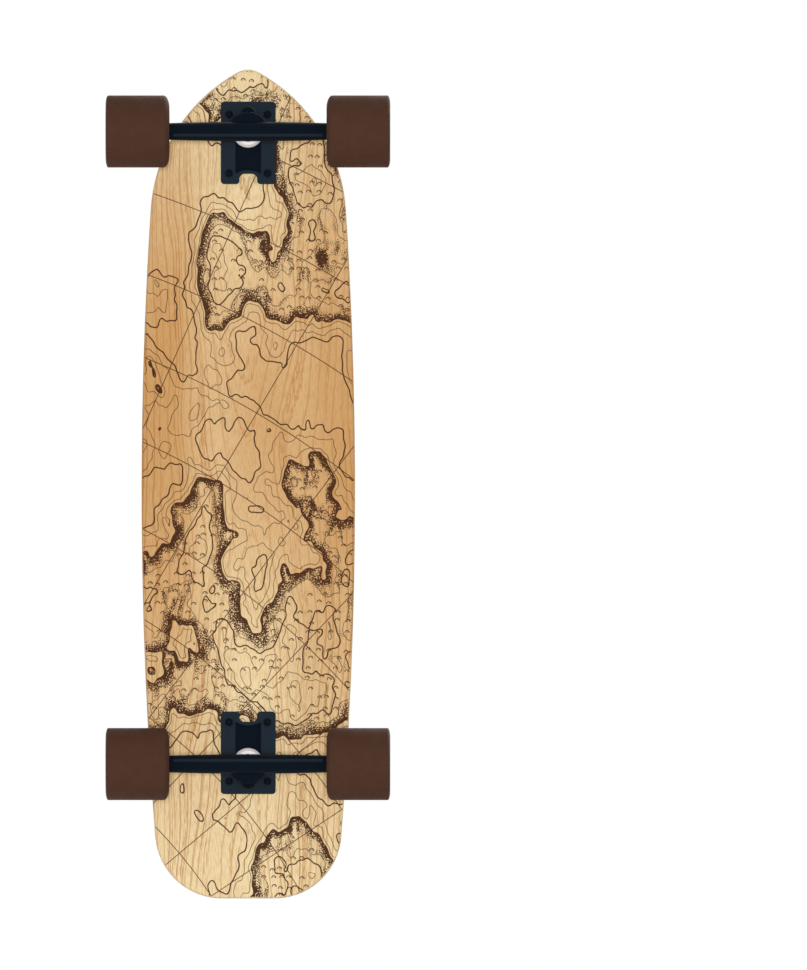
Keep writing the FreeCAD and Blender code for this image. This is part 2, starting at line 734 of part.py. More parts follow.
def make_race(name, back, shoulder, start):
    """Bearing ring from its plain back to its shoulder, with a round groove for the balls."""
    groove = "(ball_diameter / 2 + race_play)"
    middle = f"({start} + bearing_width / 2)"
    finish = f"({start} + bearing_width)"
    depth = f"(ball_circle_diameter / 2 - {shoulder})"
    reach = value(f"sqrt({groove} ^ 2 - {depth} ^ 2)")
    body = doc.addObject("PartDesign::Body", name)
    sketch = new_sketch(body, "XZ_Plane")
    centre = Vector(value("ball_circle_diameter / 2"), value(middle), 0)
    low = Vector(value(shoulder), centre.y - reach, 0)
    high = Vector(value(shoulder), centre.y + reach, 0)
    near = [Vector(value(x), value(start), 0) for x in (back, shoulder)]
    far = [Vector(value(x), value(finish), 0) for x in (back, shoulder)]
    for first, second in ((near[0], near[1]), (near[1], low), (high, far[1]), (far[1], far[0]),
                          (far[0], near[0])):
        sketch.addGeometry(Part.LineSegment(first, second))
    outwards = value(depth) < 0
    first, second = (low, high) if outwards else (high, low)
    sketch.addGeometry(arc(centre, value(groove), first, second))
    arc_low, arc_high = (1, 2) if outwards else (2, 1)
    for joint in ((0, 2, 1, 1), (1, 2, 5, arc_low), (5, arc_high, 2, 1), (2, 2, 3, 1),
                  (3, 2, 4, 1), (4, 2, 0, 1)):
        sketch.addConstraint(Sketcher.Constraint("Coincident", *joint))
    pin(sketch, 0, 1, back, start)
    pin(sketch, 1, 1, shoulder, start)
    pin(sketch, 1, 2, shoulder)
    pin(sketch, 2, 1, shoulder)
    pin(sketch, 3, 1, shoulder, finish)
    pin(sketch, 4, 1, back, finish)
    pin(sketch, 5, 3, "ball_circle_diameter / 2", middle)
    number = sketch.addConstraint(Sketcher.Constraint("Radius", 5, value(groove)))
    sketch.setExpression(f"Constraints[{number}]", cells(groove))
    revolve(body, sketch)
    return body


def make_speed_rings(end):
    bore = "axle_diameter / 2 + axle_fit"
    rings = []
    for start in ("hanger_width / 2", "outer_ring_start"):
        rings += tube_pair(f"{end}SpeedRing", bore, "speed_ring_diameter / 2", start,
                           "speed_ring_thickness")
    return group(f"{end}SpeedRings", rings)


def make_spacers(end):
    return group(f"{end}Spacers", tube_pair(f"{end}Spacer", "axle_diameter / 2 + axle_fit",
                                            "spacer_diameter / 2", "spacer_start",
                                            "spacer_length"))


def make_inner_rings(end):
    rings = []
    for start in ("inner_bearing", "outer_bearing"):
        for hand, turn in HANDS:
            ring = make_race(f"{end}InnerRing{hand}", "(axle_diameter / 2 + axle_fit)",
                             "inner_shoulder_diameter / 2", start)
            place(ring, turn=turn)
            rings.append(ring)
    return group(f"{end}InnerRings", rings)


def make_axle_nuts(end):
    nuts = []
    for hand, turn in HANDS:
        block = hexagon(f"{end}AxleNutBlock{hand}", "axle_nut_width", "axle_nut_height",
                        "axle_nut_base")
        collar = cylinder(f"{end}AxleNutCollar{hand}", "axle_nut_collar_diameter / 2",
                          "axle_nut_collar_height + axle_nut_height", z="axle_nut_base")
        bore = cylinder(f"{end}AxleNutBore{hand}", "axle_diameter / 2 + thread_fit",
                        "axle_nut_collar_height + axle_nut_height", z="axle_nut_base")
        nut = cut(f"{end}AxleNut{hand}", joined(f"{end}AxleNutSolid{hand}", [block, collar]), bore)
        place(nut, turn=turn)
        nuts.append(nut)
    return group(f"{end}AxleNuts", nuts)


def make_deck_bolts(end):
    """Countersunk screws, their heads just below the top of the deck."""
    bolts = []
    top = "(deck_top - bolt_head_sink)"
    tip = "flange_base - deck_nut_height - deck_nut_collar_height - bolt_end_past_nut"
    head_base = f"{top} - head_slant"
    for x, y in bolt_spots():
        shank = turned(f"{end}DeckBoltTurned", [("0", tip), ("bolt_diameter / 2", tip),
                                                ("bolt_diameter / 2", head_base),
                                                ("bolt_head_diameter / 2", top), ("0", top)])
        socket = hexagon(f"{end}DeckBoltSocket", "bolt_socket_width", "bolt_socket_depth",
                         f"{top} - bolt_socket_depth")
        bolt = cut(f"{end}DeckBolt", shank, socket)
        place(bolt, x, y)
        bolts.append(bolt)
    return group(f"{end}DeckBolts", bolts)


def make_deck_nuts(end):
    nuts = []
    base = "flange_base - deck_nut_height"
    for x, y in bolt_spots():
        block = hexagon(f"{end}DeckNutBlock", "deck_nut_width", "deck_nut_height", base)
        collar = cylinder(f"{end}DeckNutCollar", "deck_nut_collar_diameter / 2",
                          "deck_nut_collar_height + deck_nut_height",
                          z=f"{base} - deck_nut_collar_height")
        bore = cylinder(f"{end}DeckNutBore", "bolt_diameter / 2 + thread_fit",
                        "deck_nut_collar_height + deck_nut_height",
                        z=f"{base} - deck_nut_collar_height")
        nut = cut(f"{end}DeckNut", joined(f"{end}DeckNutSolid", [block, collar]), bore)
        place(nut, x, y)
        nuts.append(nut)
    return group(f"{end}DeckNuts", nuts)


# Wheels

def make_tyre(name):
    tread = "wheel_diameter / 2"
    bore = "core_diameter / 2 + core_fit"
    tyre = turned(f"{name}Tyre", [
        (bore, "inner_bearing"), ("inner_recess_diameter / 2", "wheel_inner_face"),
        (f"{tread} - wheel_inner_edge_in", "wheel_inner_face"),
        (tread, "wheel_inner_face + wheel_inner_edge_along"),
        (tread, "wheel_outer_face - wheel_outer_edge_along"),
        (f"{tread} - wheel_outer_edge_in", "wheel_outer_face"),
        ("outer_recess_diameter / 2", "wheel_outer_face"), (bore, "outer_ring_start")])
    inner_shoulder = rim(tread, "wheel_inner_face + wheel_inner_edge_along")
    outer_shoulder = rim(tread, "wheel_outer_face - wheel_outer_edge_along")
    round_edges(tyre, "wheel_rim_rounding",
                lambda edge: inner_shoulder(edge) or outer_shoulder(edge))
    inner_face = rim(f"{tread} - wheel_inner_edge_in", "wheel_inner_face")
    outer_face = rim(f"{tread} - wheel_outer_edge_in", "wheel_outer_face")
    round_edges(tyre, "wheel_face_rounding", lambda edge: inner_face(edge) or outer_face(edge))
    return tyre


def make_core(name):
    seat = "bearing_diameter / 2 + core_fit"
    web = "core_web_diameter / 2"
    return turned(f"{name}Core", [
        (seat, "inner_bearing"), ("core_diameter / 2", "inner_bearing"),
        ("core_diameter / 2", "outer_ring_start"), (seat, "outer_ring_start"),
        (seat, "outer_bearing"), (web, "outer_bearing"), (web, "spacer_start"),
        (seat, "spacer_start")])


def make_outer_rings(name):
    return group(f"{name}OuterRings", [
        make_race(f"{name}OuterRing", "bearing_diameter / 2", "outer_shoulder_diameter / 2", start)
        for start in ("inner_bearing", "outer_bearing")])


def make_shields(name):
    shields = []
    inner = "shield_inner_diameter / 2"
    outer = "outer_shoulder_diameter / 2 - shield_fit"
    for start in ("inner_bearing", "outer_bearing"):
        near = f"{start} + shield_inset"
        far = f"{start} + bearing_width - shield_inset - shield_thickness"
        for base in (near, far):
            shields.append(turned(f"{name}Shield", [
                (inner, base), (outer, base), (outer, f"{base} + shield_thickness"),
                (inner, f"{base} + shield_thickness")]))
    return group(f"{name}Shields", shields)


def ball_spots(start):
    for index in range(BALL_COUNT):
        angle = 2 * math.pi * index / BALL_COUNT
        yield (f"ball_circle_diameter / 2 * {math.cos(angle):.9f}",
               f"ball_circle_diameter / 2 * {math.sin(angle):.9f}",
               f"{start} + bearing_width / 2")


def make_spheres(name, radius, start):
    spheres = []
    for x, y, z in ball_spots(start):
        sphere = doc.addObject("Part::Sphere", name)
        bind(sphere, Radius=radius)
        place(sphere, x, y, z)
        spheres.append(sphere)
    return spheres


def make_balls(name):
    return group(f"{name}Balls", make_spheres(f"{name}Ball", "ball_diameter / 2", "inner_bearing")
                 + make_spheres(f"{name}Ball", "ball_diameter / 2", "outer_bearing"))


def make_cages(name):
    cages = []
    for start in ("inner_bearing", "outer_bearing"):
        low = f"{start} + bearing_width / 2 - cage_below_balls"
        high = f"{start} + bearing_width / 2 + cage_above_balls"
        crown = turned(f"{name}CageRing", [
            ("cage_inner_diameter / 2", low), ("cage_outer_diameter / 2", low),
            ("cage_outer_diameter / 2", high), ("cage_inner_diameter / 2", high)])
        pockets = make_spheres(f"{name}Pocket", "ball_diameter / 2 + cage_play", start)
        cages.append(cut(f"{name}Cage", crown, joined(f"{name}Pockets", pockets)))
    return group(f"{name}Cages", cages)


for end, axle, turn in (("front", "front_axle", Rotation()), ("rear", "rear_axle", HALF_TURN)):
    name = end.capitalize()
    road_bushing, board_bushing = make_bushings(name)
    truck = {
        "riser": make_riser(name),
        "baseplate": make_baseplate(name),
        "pivot_cup": make_pivot_cup(name),
        "kingpin": make_kingpin(name),
        "kingpin_nut": make_kingpin_nut(name),
        "roadside_bushing": road_bushing,
        "boardside_bushing": board_bushing,
        "bushing_washers": make_washers(name),
        "hanger": make_hanger(name),
        "axle": make_axle(name),
        "speed_rings": make_speed_rings(name),
        "axle_nuts": make_axle_nuts(name),
        "deck_bolts": make_deck_bolts(name),
        "deck_nuts": make_deck_nuts(name),
        "bearing_inner_rings": make_inner_rings(name),
        "bearing_spacers": make_spacers(name),
    }
    for piece, item in truck.items():
        way = "-" if end == "rear" else "+"
        if piece.endswith("bushing"):
            place(item, "0", f"{axle} {way} kingpin_offset", "axle_height", turn)
        elif piece == "axle":
            place(item, "-axle_end", axle, "axle_height", ALONG_X)
        else:
            place(item, "0", axle, "axle_height", turn)
        keep(f"{end}_{piece}", item)
    for hand, face in HANDS:
        name = f"{end.capitalize()}{hand}"
        wheel = {
            "tyre": make_tyre(name),
            "core": make_core(name),
            "bearing_outer_rings": make_outer_rings(name),
            "bearing_shields": make_shields(name),
            "bearing_balls": make_balls(name),
            "bearing_cages": make_cages(name),
        }
        for piece, item in wheel.items():
            place(item, "0", axle, "axle_height", face)
            keep(f"{end}_{hand.lower()}_{piece}", item)

doc.recompute()

failed = [item.Label for item in doc.Objects if {"Invalid", "Error"} & set(item.State)]
failed += [label for label, item in nodes.items()
           if item.Shape.isNull() or not item.Shape.isValid() or not item.Shape.Solids]
if failed:
    raise RuntimeError("failed: " + ", ".join(failed))
os.makedirs("parts", exist_ok=True)
for label, item in nodes.items():
    item.Shape.exportStep(os.path.join("parts", label + ".step"))
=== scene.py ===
import math

import bmesh
import bpy
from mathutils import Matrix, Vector


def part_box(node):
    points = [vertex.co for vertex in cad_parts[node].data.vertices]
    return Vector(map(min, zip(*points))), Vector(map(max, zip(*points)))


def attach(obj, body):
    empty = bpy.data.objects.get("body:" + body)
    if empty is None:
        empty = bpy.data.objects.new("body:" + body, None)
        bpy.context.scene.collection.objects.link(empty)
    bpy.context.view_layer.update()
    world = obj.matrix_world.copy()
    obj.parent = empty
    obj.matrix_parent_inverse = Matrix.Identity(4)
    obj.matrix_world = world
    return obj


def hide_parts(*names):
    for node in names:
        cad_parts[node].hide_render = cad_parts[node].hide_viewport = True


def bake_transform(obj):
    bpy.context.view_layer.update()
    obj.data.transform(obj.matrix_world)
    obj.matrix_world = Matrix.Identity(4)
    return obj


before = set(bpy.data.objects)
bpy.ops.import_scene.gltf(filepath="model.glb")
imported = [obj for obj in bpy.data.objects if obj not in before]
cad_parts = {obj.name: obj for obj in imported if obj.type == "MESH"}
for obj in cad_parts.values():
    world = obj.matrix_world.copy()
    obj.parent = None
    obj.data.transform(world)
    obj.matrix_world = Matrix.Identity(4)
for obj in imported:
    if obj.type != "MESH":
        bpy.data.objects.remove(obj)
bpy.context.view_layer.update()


# Deck. Seven sheets of hard maple are glued and pressed into a flat board with raised rails, sawn
# to its outline, rounded along the edge and lacquered. The road side carries a brown print of
# contour lines, stippled slopes and small hills over a net of arcs and rays; the top is bare.

DECK_THICKNESS = 0.0111
DECK_FLAT_HALF = 0.062
RAIL_RADIUS = 0.300
PLIES = 7


def linear(code):
    """Linear colour of an sRGB hex code."""
    values = [int(code[place:place + 2], 16) / 255 for place in (1, 3, 5)]
    return [v / 12.92 if v <= 0.04045 else ((v + 0.055) / 1.055) ** 2.4 for v in values] + [1]


def per_metre(*millimetres):
    """Scales of a pattern whose features have these sizes."""
    return tuple(1000 / size for size in millimetres)


def feed(tree, node, inputs):
    """Set or link a node's inputs, named or numbered, from values, nodes or sockets."""
    for key, source in inputs.items():
        socket = node.inputs[key] if isinstance(key, int) else next(
            item for item in node.inputs if item.enabled and item.name == key)
        if isinstance(source, bpy.types.Node):
            source = next(item for item in source.outputs if item.enabled)
        if isinstance(source, bpy.types.NodeSocket):
            tree.links.new(source, socket)
        else:
            socket.default_value = source


def add(tree, kind, inputs, **settings):
    """Add a node with its settings and links."""
    node = tree.nodes.new("ShaderNode" + kind)
    for name, setting in settings.items():
        setattr(node, name, setting)
    feed(tree, node, inputs)
    return node


def new_finish(name):
    """A new material with its node tree and its shader."""
    material = bpy.data.materials.new(name)
    material.use_nodes = True
    return material, material.node_tree, material.node_tree.nodes["Principled BSDF"]


def dress(material, *names):
    """Give CAD nodes a finish."""
    for name in names:
        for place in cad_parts[name].material_slots:
            place.material = material


# Lacquered maple veneer, sliced flat: pale, with thin darker growth lines that run along the rails
# and close in long arches towards the middle, fine fibres, a browner tone along the rails, and a
# low satin gloss. The sawn edge shows the plies, two of them laid crosswise, and their glue lines.
PALE_MAPLE, RAIL_MAPLE = linear("#FFEABA"), linear("#CE9D65")
FIBRE_MAPLE, LATE_MAPLE = linear("#B88046"), linear("#B37638")
CROSS_MAPLE, GLUE_LINE = linear("#B28452"), linear("#8A5F38")
maple, tree, shader = new_finish("lacquered_maple")
spot = add(tree, "TexCoord", {}).outputs["Object"]
across, along, height = add(tree, "SeparateXYZ", {0: spot}).outputs
aside = add(tree, "Math", {0: across}, operation="ABSOLUTE")

# How deep a point lies in the board, 0 on the road side and 1 on top, also where the rails curve.
deck_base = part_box("deck")[0][2]
outward = add(tree, "Math", {0: aside, 1: DECK_FLAT_HALF}, operation="SUBTRACT")
outward = add(tree, "Math", {0: outward, 1: 0.0}, operation="MAXIMUM")
inward = add(tree, "Math", {0: deck_base + RAIL_RADIUS, 1: height}, operation="SUBTRACT")
bend = add(tree, "CombineXYZ", {0: outward, 1: inward})
bend = add(tree, "VectorMath", {0: bend}, operation="LENGTH")
depth = add(tree, "MapRange", {"Value": bend, "From Min": RAIL_RADIUS,
                               "From Max": RAIL_RADIUS - DECK_THICKNESS}, clamp=False)

# Growth rings of a log whose heart lies deepest under the middle of the board. They wander, and
# their spacing changes from year to year. A second sample beside the first gives how fast they
# follow each other there. The sizes of patterns are in millimetres, across, along and down.
GROWTH_SPACING = 0.0060
HEART_UNDER_MIDDLE, HEART_UNDER_ENDS = 0.060, 0.026
HEART_BEND = 0.06
BOARD_HALF = 0.45
DRIFT, DRIFT_SIZE = 0.045, (143, 417, 25)
UNEVENNESS, CLIMATE_SIZE = 0.006, 9
RING_STEP = 0.0008
LEAST_PACE = 0.15
heart = add(tree, "CombineXYZ", {0: along, 1: HEART_BEND})
heart = add(tree, "VectorMath", {0: heart}, operation="LENGTH")
heart = add(tree, "MapRange", {"Value": heart, "From Max": BOARD_HALF,
                               "To Min": HEART_UNDER_MIDDLE, "To Max": HEART_UNDER_ENDS},
            clamp=False)
rings = []
for step in (0.0, RING_STEP):
    place = add(tree, "VectorMath", {0: spot, 1: (step, 0, 0)}, operation="ADD")
    drift = add(tree, "Mapping", {"Vector": place, "Scale": per_metre(*DRIFT_SIZE)})
    drift = add(tree, "TexNoise", {"Vector": drift, "Scale": 1, "Detail": 2})
    drift = add(tree, "MapRange", {"Value": drift, "To Min": step - DRIFT, "To Max": step + DRIFT})
    swing = add(tree, "Math", {0: across, 1: drift}, operation="ADD")
    ring = add(tree, "CombineXYZ", {0: swing, 1: heart})
    ring = add(tree, "VectorMath", {0: ring}, operation="LENGTH")
    climate = add(tree, "TexNoise", {"W": ring, "Scale": per_metre(CLIMATE_SIZE)[0],
                                     "Detail": 2}, noise_dimensions="1D")
    climate = add(tree, "MapRange", {"Value": climate, "To Min": -UNEVENNESS,
                                     "To Max": UNEVENNESS})
    rings.append(add(tree, "Math", {0: ring, 1: climate}, operation="ADD"))
pace = add(tree, "Math", {0: rings[1], 1: rings[0]}, operation="SUBTRACT")
pace = add(tree, "Math", {0: pace}, operation="ABSOLUTE")
pace = add(tree, "Math", {0: pace, 1: RING_STEP}, operation="DIVIDE")
pace = add(tree, "Math", {0: pace, 1: LEAST_PACE}, operation="MAXIMUM")

# Each year darkens to a thin line of late wood and then starts pale again. Fibres break the lines
# into short teeth, and they fade in and out along their length. Nearly all of a noise lies between
# its low and its high.
LATE_WIDTH, LATE_END = 0.0024, 0.0005
TOOTH, TOOTH_SIZE = 0.0009, (1.9, 20, 3.3)
VIGOUR_SIZE = (25, 170, 25)
NOISE_LOW, NOISE_HIGH = 0.3, 0.7
WEAK_LINE, STRONG_LINE = 0.3, 0.8
tooth = add(tree, "Mapping", {"Vector": spot, "Scale": per_metre(*TOOTH_SIZE)})
tooth = add(tree, "TexNoise", {"Vector": tooth, "Scale": 1, "Detail": 2})
tooth = add(tree, "MapRange", {"Value": tooth, "To Min": -TOOTH, "To Max": TOOTH})
years = add(tree, "Math", {0: rings[0], 1: tooth}, operation="ADD")
season = add(tree, "Math", {0: years, 1: GROWTH_SPACING}, operation="FLOORED_MODULO")
past = add(tree, "Math", {0: season, 1: pace}, operation="DIVIDE")
left = add(tree, "Math", {0: GROWTH_SPACING, 1: season}, operation="SUBTRACT")
left = add(tree, "Math", {0: left, 1: pace}, operation="DIVIDE")
rise = add(tree, "MapRange", {"Value": left, "From Min": LATE_WIDTH, "From Max": 0.0},
           interpolation_type="SMOOTHSTEP")
fall = add(tree, "MapRange", {"Value": past, "From Min": LATE_END, "From Max": 0.0},
           interpolation_type="SMOOTHSTEP")
late = add(tree, "Math", {0: rise, 1: fall}, operation="MAXIMUM")
vigour = add(tree, "Mapping", {"Vector": spot, "Scale": per_metre(*VIGOUR_SIZE)})
vigour = add(tree, "TexNoise", {"Vector": vigour, "Scale": 1, "Detail": 2})
vigour = add(tree, "MapRange", {"Value": vigour, "From Min": NOISE_LOW, "From Max": NOISE_HIGH,
                                "To Min": WEAK_LINE, "To Max": STRONG_LINE})
late = add(tree, "Math", {0: late, 1: vigour}, operation="MULTIPLY")

# Fibres are about a millimetre wide here, coarser than real ones, so that they show. The veneer is
# brownest on the rails and in a long patch of heartwood, both a little forward of the middle.
BROWN_WAIST = -0.05
RAIL_START, RAIL_END = 0.0, 0.085
WAIST_END, WAIST_FADE = 0.05, 0.55
RAIL_TONE, HEART_TONE = 0.8, 0.66
HEART_PATCH, HEART_SIZE = Vector((0.006, -0.07, 0.0)), Vector((0.07, 0.32, 1.0))
FIBRE_SIZE, CLOUD_SIZE = (1.2, 10, 3.3), (90, 500, 33)
FIBRE_START, FIBRE_END, FIBRE_TONE = 0.43, 0.7, 0.42
CLOUD_START, CLOUD_END, CLOUD_TONE = 0.3, 0.75, 0.25
FLAT = (1, 1, 0)
fibre = add(tree, "Mapping", {"Vector": spot, "Scale": per_metre(*FIBRE_SIZE)})
fibre = add(tree, "TexNoise", {"Vector": fibre, "Scale": 1, "Detail": 2, "Roughness": 0.6})
strand = add(tree, "MapRange", {"Value": fibre, "From Min": FIBRE_START, "From Max": FIBRE_END,
                                "To Max": FIBRE_TONE})
cloud = add(tree, "Mapping", {"Vector": spot, "Scale": per_metre(*CLOUD_SIZE)})
cloud = add(tree, "TexNoise", {"Vector": cloud, "Scale": 1, "Detail": 2})
cloud = add(tree, "MapRange", {"Value": cloud, "From Min": CLOUD_START, "From Max": CLOUD_END,
                               "To Max": CLOUD_TONE})
waist = add(tree, "Math", {0: along, 1: BROWN_WAIST}, operation="SUBTRACT")
waist = add(tree, "Math", {0: waist}, operation="ABSOLUTE")
rail_tone = add(tree, "MapRange", {"Value": aside, "From Min": RAIL_START, "From Max": RAIL_END},
                interpolation_type="SMOOTHSTEP")
waist_tone = add(tree, "MapRange", {"Value": waist, "From Min": WAIST_END, "From Max": WAIST_FADE,
                                    "To Min": RAIL_TONE, "To Max": 0.0},
                 interpolation_type="SMOOTHSTEP")
tone = add(tree, "Math", {0: rail_tone, 1: waist_tone, 2: cloud}, operation="MULTIPLY_ADD")
heartwood = add(tree, "VectorMath", {0: spot, 1: HEART_PATCH}, operation="SUBTRACT")
heartwood = add(tree, "VectorMath", {0: heartwood, 1: HEART_SIZE}, operation="DIVIDE")
heartwood = add(tree, "VectorMath", {0: heartwood, 1: FLAT}, operation="MULTIPLY")
heartwood = add(tree, "VectorMath", {0: heartwood}, operation="LENGTH")
heartwood = add(tree, "MapRange", {"Value": heartwood, "To Min": HEART_TONE, "To Max": 0.0},
                interpolation_type="SMOOTHSTEP")
tone = add(tree, "Math", {0: tone, 1: heartwood}, operation="ADD")
veneer = add(tree, "Mix", {"Factor": tone, "A": PALE_MAPLE, "B": RAIL_MAPLE}, data_type="RGBA")
veneer = add(tree, "Mix", {"Factor": strand, "A": veneer, "B": FIBRE_MAPLE}, data_type="RGBA")
veneer = add(tree, "Mix", {"Factor": late, "A": veneer, "B": LATE_MAPLE}, data_type="RGBA")

# The sawn edge: the third and fifth plies run crosswise, and a thin dark line parts each two. It
# gives way to plain veneer just short of the two faces.
THIRD_PLY, FIFTH_PLY, SAME_PLY = 2.0, 4.0, 0.1
CROSS_TONE, GLUE_TONE = 0.7, 0.6
GLUE_CORE, GLUE_FADE = 0.02, 0.1
SKIN_START, SKIN_END = 0.44, 0.47
layer = add(tree, "Math", {0: depth, 1: PLIES}, operation="MULTIPLY")
ply = add(tree, "Math", {0: layer}, operation="FLOOR")
third = add(tree, "Math", {0: ply, 1: THIRD_PLY, 2: SAME_PLY}, operation="COMPARE")
fifth = add(tree, "Math", {0: ply, 1: FIFTH_PLY, 2: SAME_PLY}, operation="COMPARE")
crosswise = add(tree, "Math", {0: third, 1: fifth}, operation="MAXIMUM")
crosswise = add(tree, "Math", {0: crosswise, 1: CROSS_TONE}, operation="MULTIPLY")
edge = add(tree, "Mix", {"Factor": crosswise, "A": veneer, "B": CROSS_MAPLE}, data_type="RGBA")
glue = add(tree, "Math", {0: layer, 1: 0.5}, operation="PINGPONG")
glue = add(tree, "MapRange", {"Value": glue, "From Min": GLUE_CORE, "From Max": GLUE_FADE,
                              "To Min": GLUE_TONE, "To Max": 0.0},
           interpolation_type="SMOOTHSTEP")
edge = add(tree, "Mix", {"Factor": glue, "A": edge, "B": GLUE_LINE}, data_type="RGBA")
skin = add(tree, "Math", {0: depth, 1: 0.5}, operation="SUBTRACT")
skin = add(tree, "Math", {0: skin}, operation="ABSOLUTE")
skin = add(tree, "MapRange", {"Value": skin, "From Min": SKIN_START, "From Max": SKIN_END},
           interpolation_type="SMOOTHSTEP")
wood = add(tree, "Mix", {"Factor": skin, "A": edge, "B": veneer}, data_type="RGBA")

# The print. Contour lines keep one width because each distance is divided by the slope of the
# ground there; every fifth is heavier. A line fades out over a share of its width.
PRINT_SIZE = (143, 217)
PRINT_SCALE = Vector((*per_metre(*PRINT_SIZE), 0.0))
GROUND_START = Vector((23.1, 7.8, 0.0))
PRINT_STEP = 0.0008
LEAST_SLOPE = 0.2
HEAVY_EVERY = 5
FINE_LEVELS, FINE_LINE = 34, 0.0005
HEAVY_LEVELS, HEAVY_LINE = FINE_LEVELS / HEAVY_EVERY, 0.0008
LINE_CORE, LINE_FADE = 0.6, 1.2
ground = {}
for way, shift in (("here", (0, 0, 0)), ("east", (PRINT_STEP, 0, 0)),
                   ("north", (0, PRINT_STEP, 0))):
    moved = GROUND_START + Vector(shift) * PRINT_SCALE
    place = add(tree, "Mapping", {"Vector": spot, "Scale": PRINT_SCALE, "Location": moved})
    ground[way] = add(tree, "TexNoise", {"Vector": place, "Scale": 1, "Detail": 4,
                                         "Roughness": 0.5})
east_rise = add(tree, "Math", {0: ground["east"], 1: ground["here"]}, operation="SUBTRACT")
north_rise = add(tree, "Math", {0: ground["north"], 1: ground["here"]}, operation="SUBTRACT")
slope = add(tree, "CombineXYZ", {0: east_rise, 1: north_rise})
slope = add(tree, "VectorMath", {0: slope}, operation="LENGTH")
slope = add(tree, "Math", {0: slope, 1: PRINT_STEP}, operation="DIVIDE")
slope = add(tree, "Math", {0: slope, 1: LEAST_SLOPE}, operation="MAXIMUM")
lines = {}
for weight, levels, width in (("fine", FINE_LEVELS, FINE_LINE),
                              ("heavy", HEAVY_LEVELS, HEAVY_LINE)):
    level = add(tree, "Math", {0: ground["here"], 1: levels}, operation="MULTIPLY")
    level = add(tree, "Math", {0: level, 1: 0.5}, operation="PINGPONG")
    steepness = add(tree, "Math", {0: slope, 1: levels}, operation="MULTIPLY")
    away = add(tree, "Math", {0: level, 1: steepness}, operation="DIVIDE")
    lines[weight] = add(tree, "MapRange", {"Value": away, "From Min": LINE_CORE * width,
                                           "From Max": LINE_FADE * width, "To Min": 1.0,
                                           "To Max": 0.0}, interpolation_type="SMOOTHSTEP")

# Fine lines thin out where the ground is low, which leaves open wood there.
OPEN_GROUND, DRAWN_GROUND = 0.40, 0.47
FINE_INK = 0.75
lowland = add(tree, "MapRange", {"Value": ground["here"], "From Min": OPEN_GROUND,
                                 "From Max": DRAWN_GROUND, "To Max": FINE_INK},
              interpolation_type="SMOOTHSTEP")
fine = add(tree, "Math", {0: lines["fine"], 1: lowland}, operation="MULTIPLY")
contours = add(tree, "Math", {0: fine, 1: lines["heavy"]}, operation="MAXIMUM")

# The slopes above one contour are stippled with dots that shrink and part uphill. The stipple is
# denser in some places than in others and starts at a heavy line. Its dots are 1.5 mm apart.
SHORE_LEVEL, SHORE_LINE = 0.515, 0.0006
RIM_CORE, RIM_FADE = 0.7 * SHORE_LINE, 1.3 * SHORE_LINE
BEACH_END = SHORE_LINE / 3
STIPPLE_WIDTH, STIPPLE_FALL = 0.019, 1.4
PATCH_SIZE, DOT_PITCH = 22, 1.5
THIN_PATCH, DENSE_PATCH = 0.55, 1.15
DOT_GROWTH = 0.95
DOT_CORE, DOT_FADE = -0.06, 0.10
LAST_DOTS = 0.03
shore = add(tree, "Math", {0: ground["here"], 1: SHORE_LEVEL}, operation="SUBTRACT")
shore = add(tree, "Math", {0: shore, 1: slope}, operation="DIVIDE")
bank = add(tree, "MapRange", {"Value": shore, "From Min": 0.0, "From Max": STIPPLE_WIDTH,
                              "To Min": 1.0, "To Max": 0.0})
bank = add(tree, "Math", {0: bank, 1: STIPPLE_FALL}, operation="POWER")
beach = add(tree, "MapRange", {"Value": shore, "From Min": -SHORE_LINE, "From Max": BEACH_END})
bank = add(tree, "Math", {0: bank, 1: beach}, operation="MULTIPLY")
patch_scale, dot_scale = per_metre(PATCH_SIZE, DOT_PITCH)
patchy = add(tree, "TexNoise", {"Vector": spot, "Scale": patch_scale, "Detail": 3})
patchy = add(tree, "MapRange", {"Value": patchy, "From Min": NOISE_LOW, "From Max": NOISE_HIGH,
                                "To Min": THIN_PATCH, "To Max": DENSE_PATCH})
bank = add(tree, "Math", {0: bank, 1: patchy}, operation="MULTIPLY")
dots = add(tree, "TexVoronoi", {"Vector": spot, "Scale": dot_scale}, voronoi_dimensions="2D")
dots = add(tree, "Math", {0: bank, 1: -DOT_GROWTH, 2: dots}, operation="MULTIPLY_ADD")
stipple = add(tree, "MapRange", {"Value": dots, "From Min": DOT_CORE, "From Max": DOT_FADE,
                                 "To Min": 1.0, "To Max": 0.0}, interpolation_type="SMOOTHSTEP")
inland = add(tree, "Math", {0: bank, 1: LAST_DOTS}, operation="GREATER_THAN")
stipple = add(tree, "Math", {0: stipple, 1: inland}, operation="MULTIPLY")
rim = add(tree, "Math", {0: shore}, operation="ABSOLUTE")
rim = add(tree, "MapRange", {"Value": rim, "From Min": RIM_CORE, "From Max": RIM_FADE,
                             "To Min": 1.0, "To Max": 0.0}, interpolation_type="SMOOTHSTEP")
stipple = add(tree, "Math", {0: stipple, 1: rim}, operation="MAXIMUM")

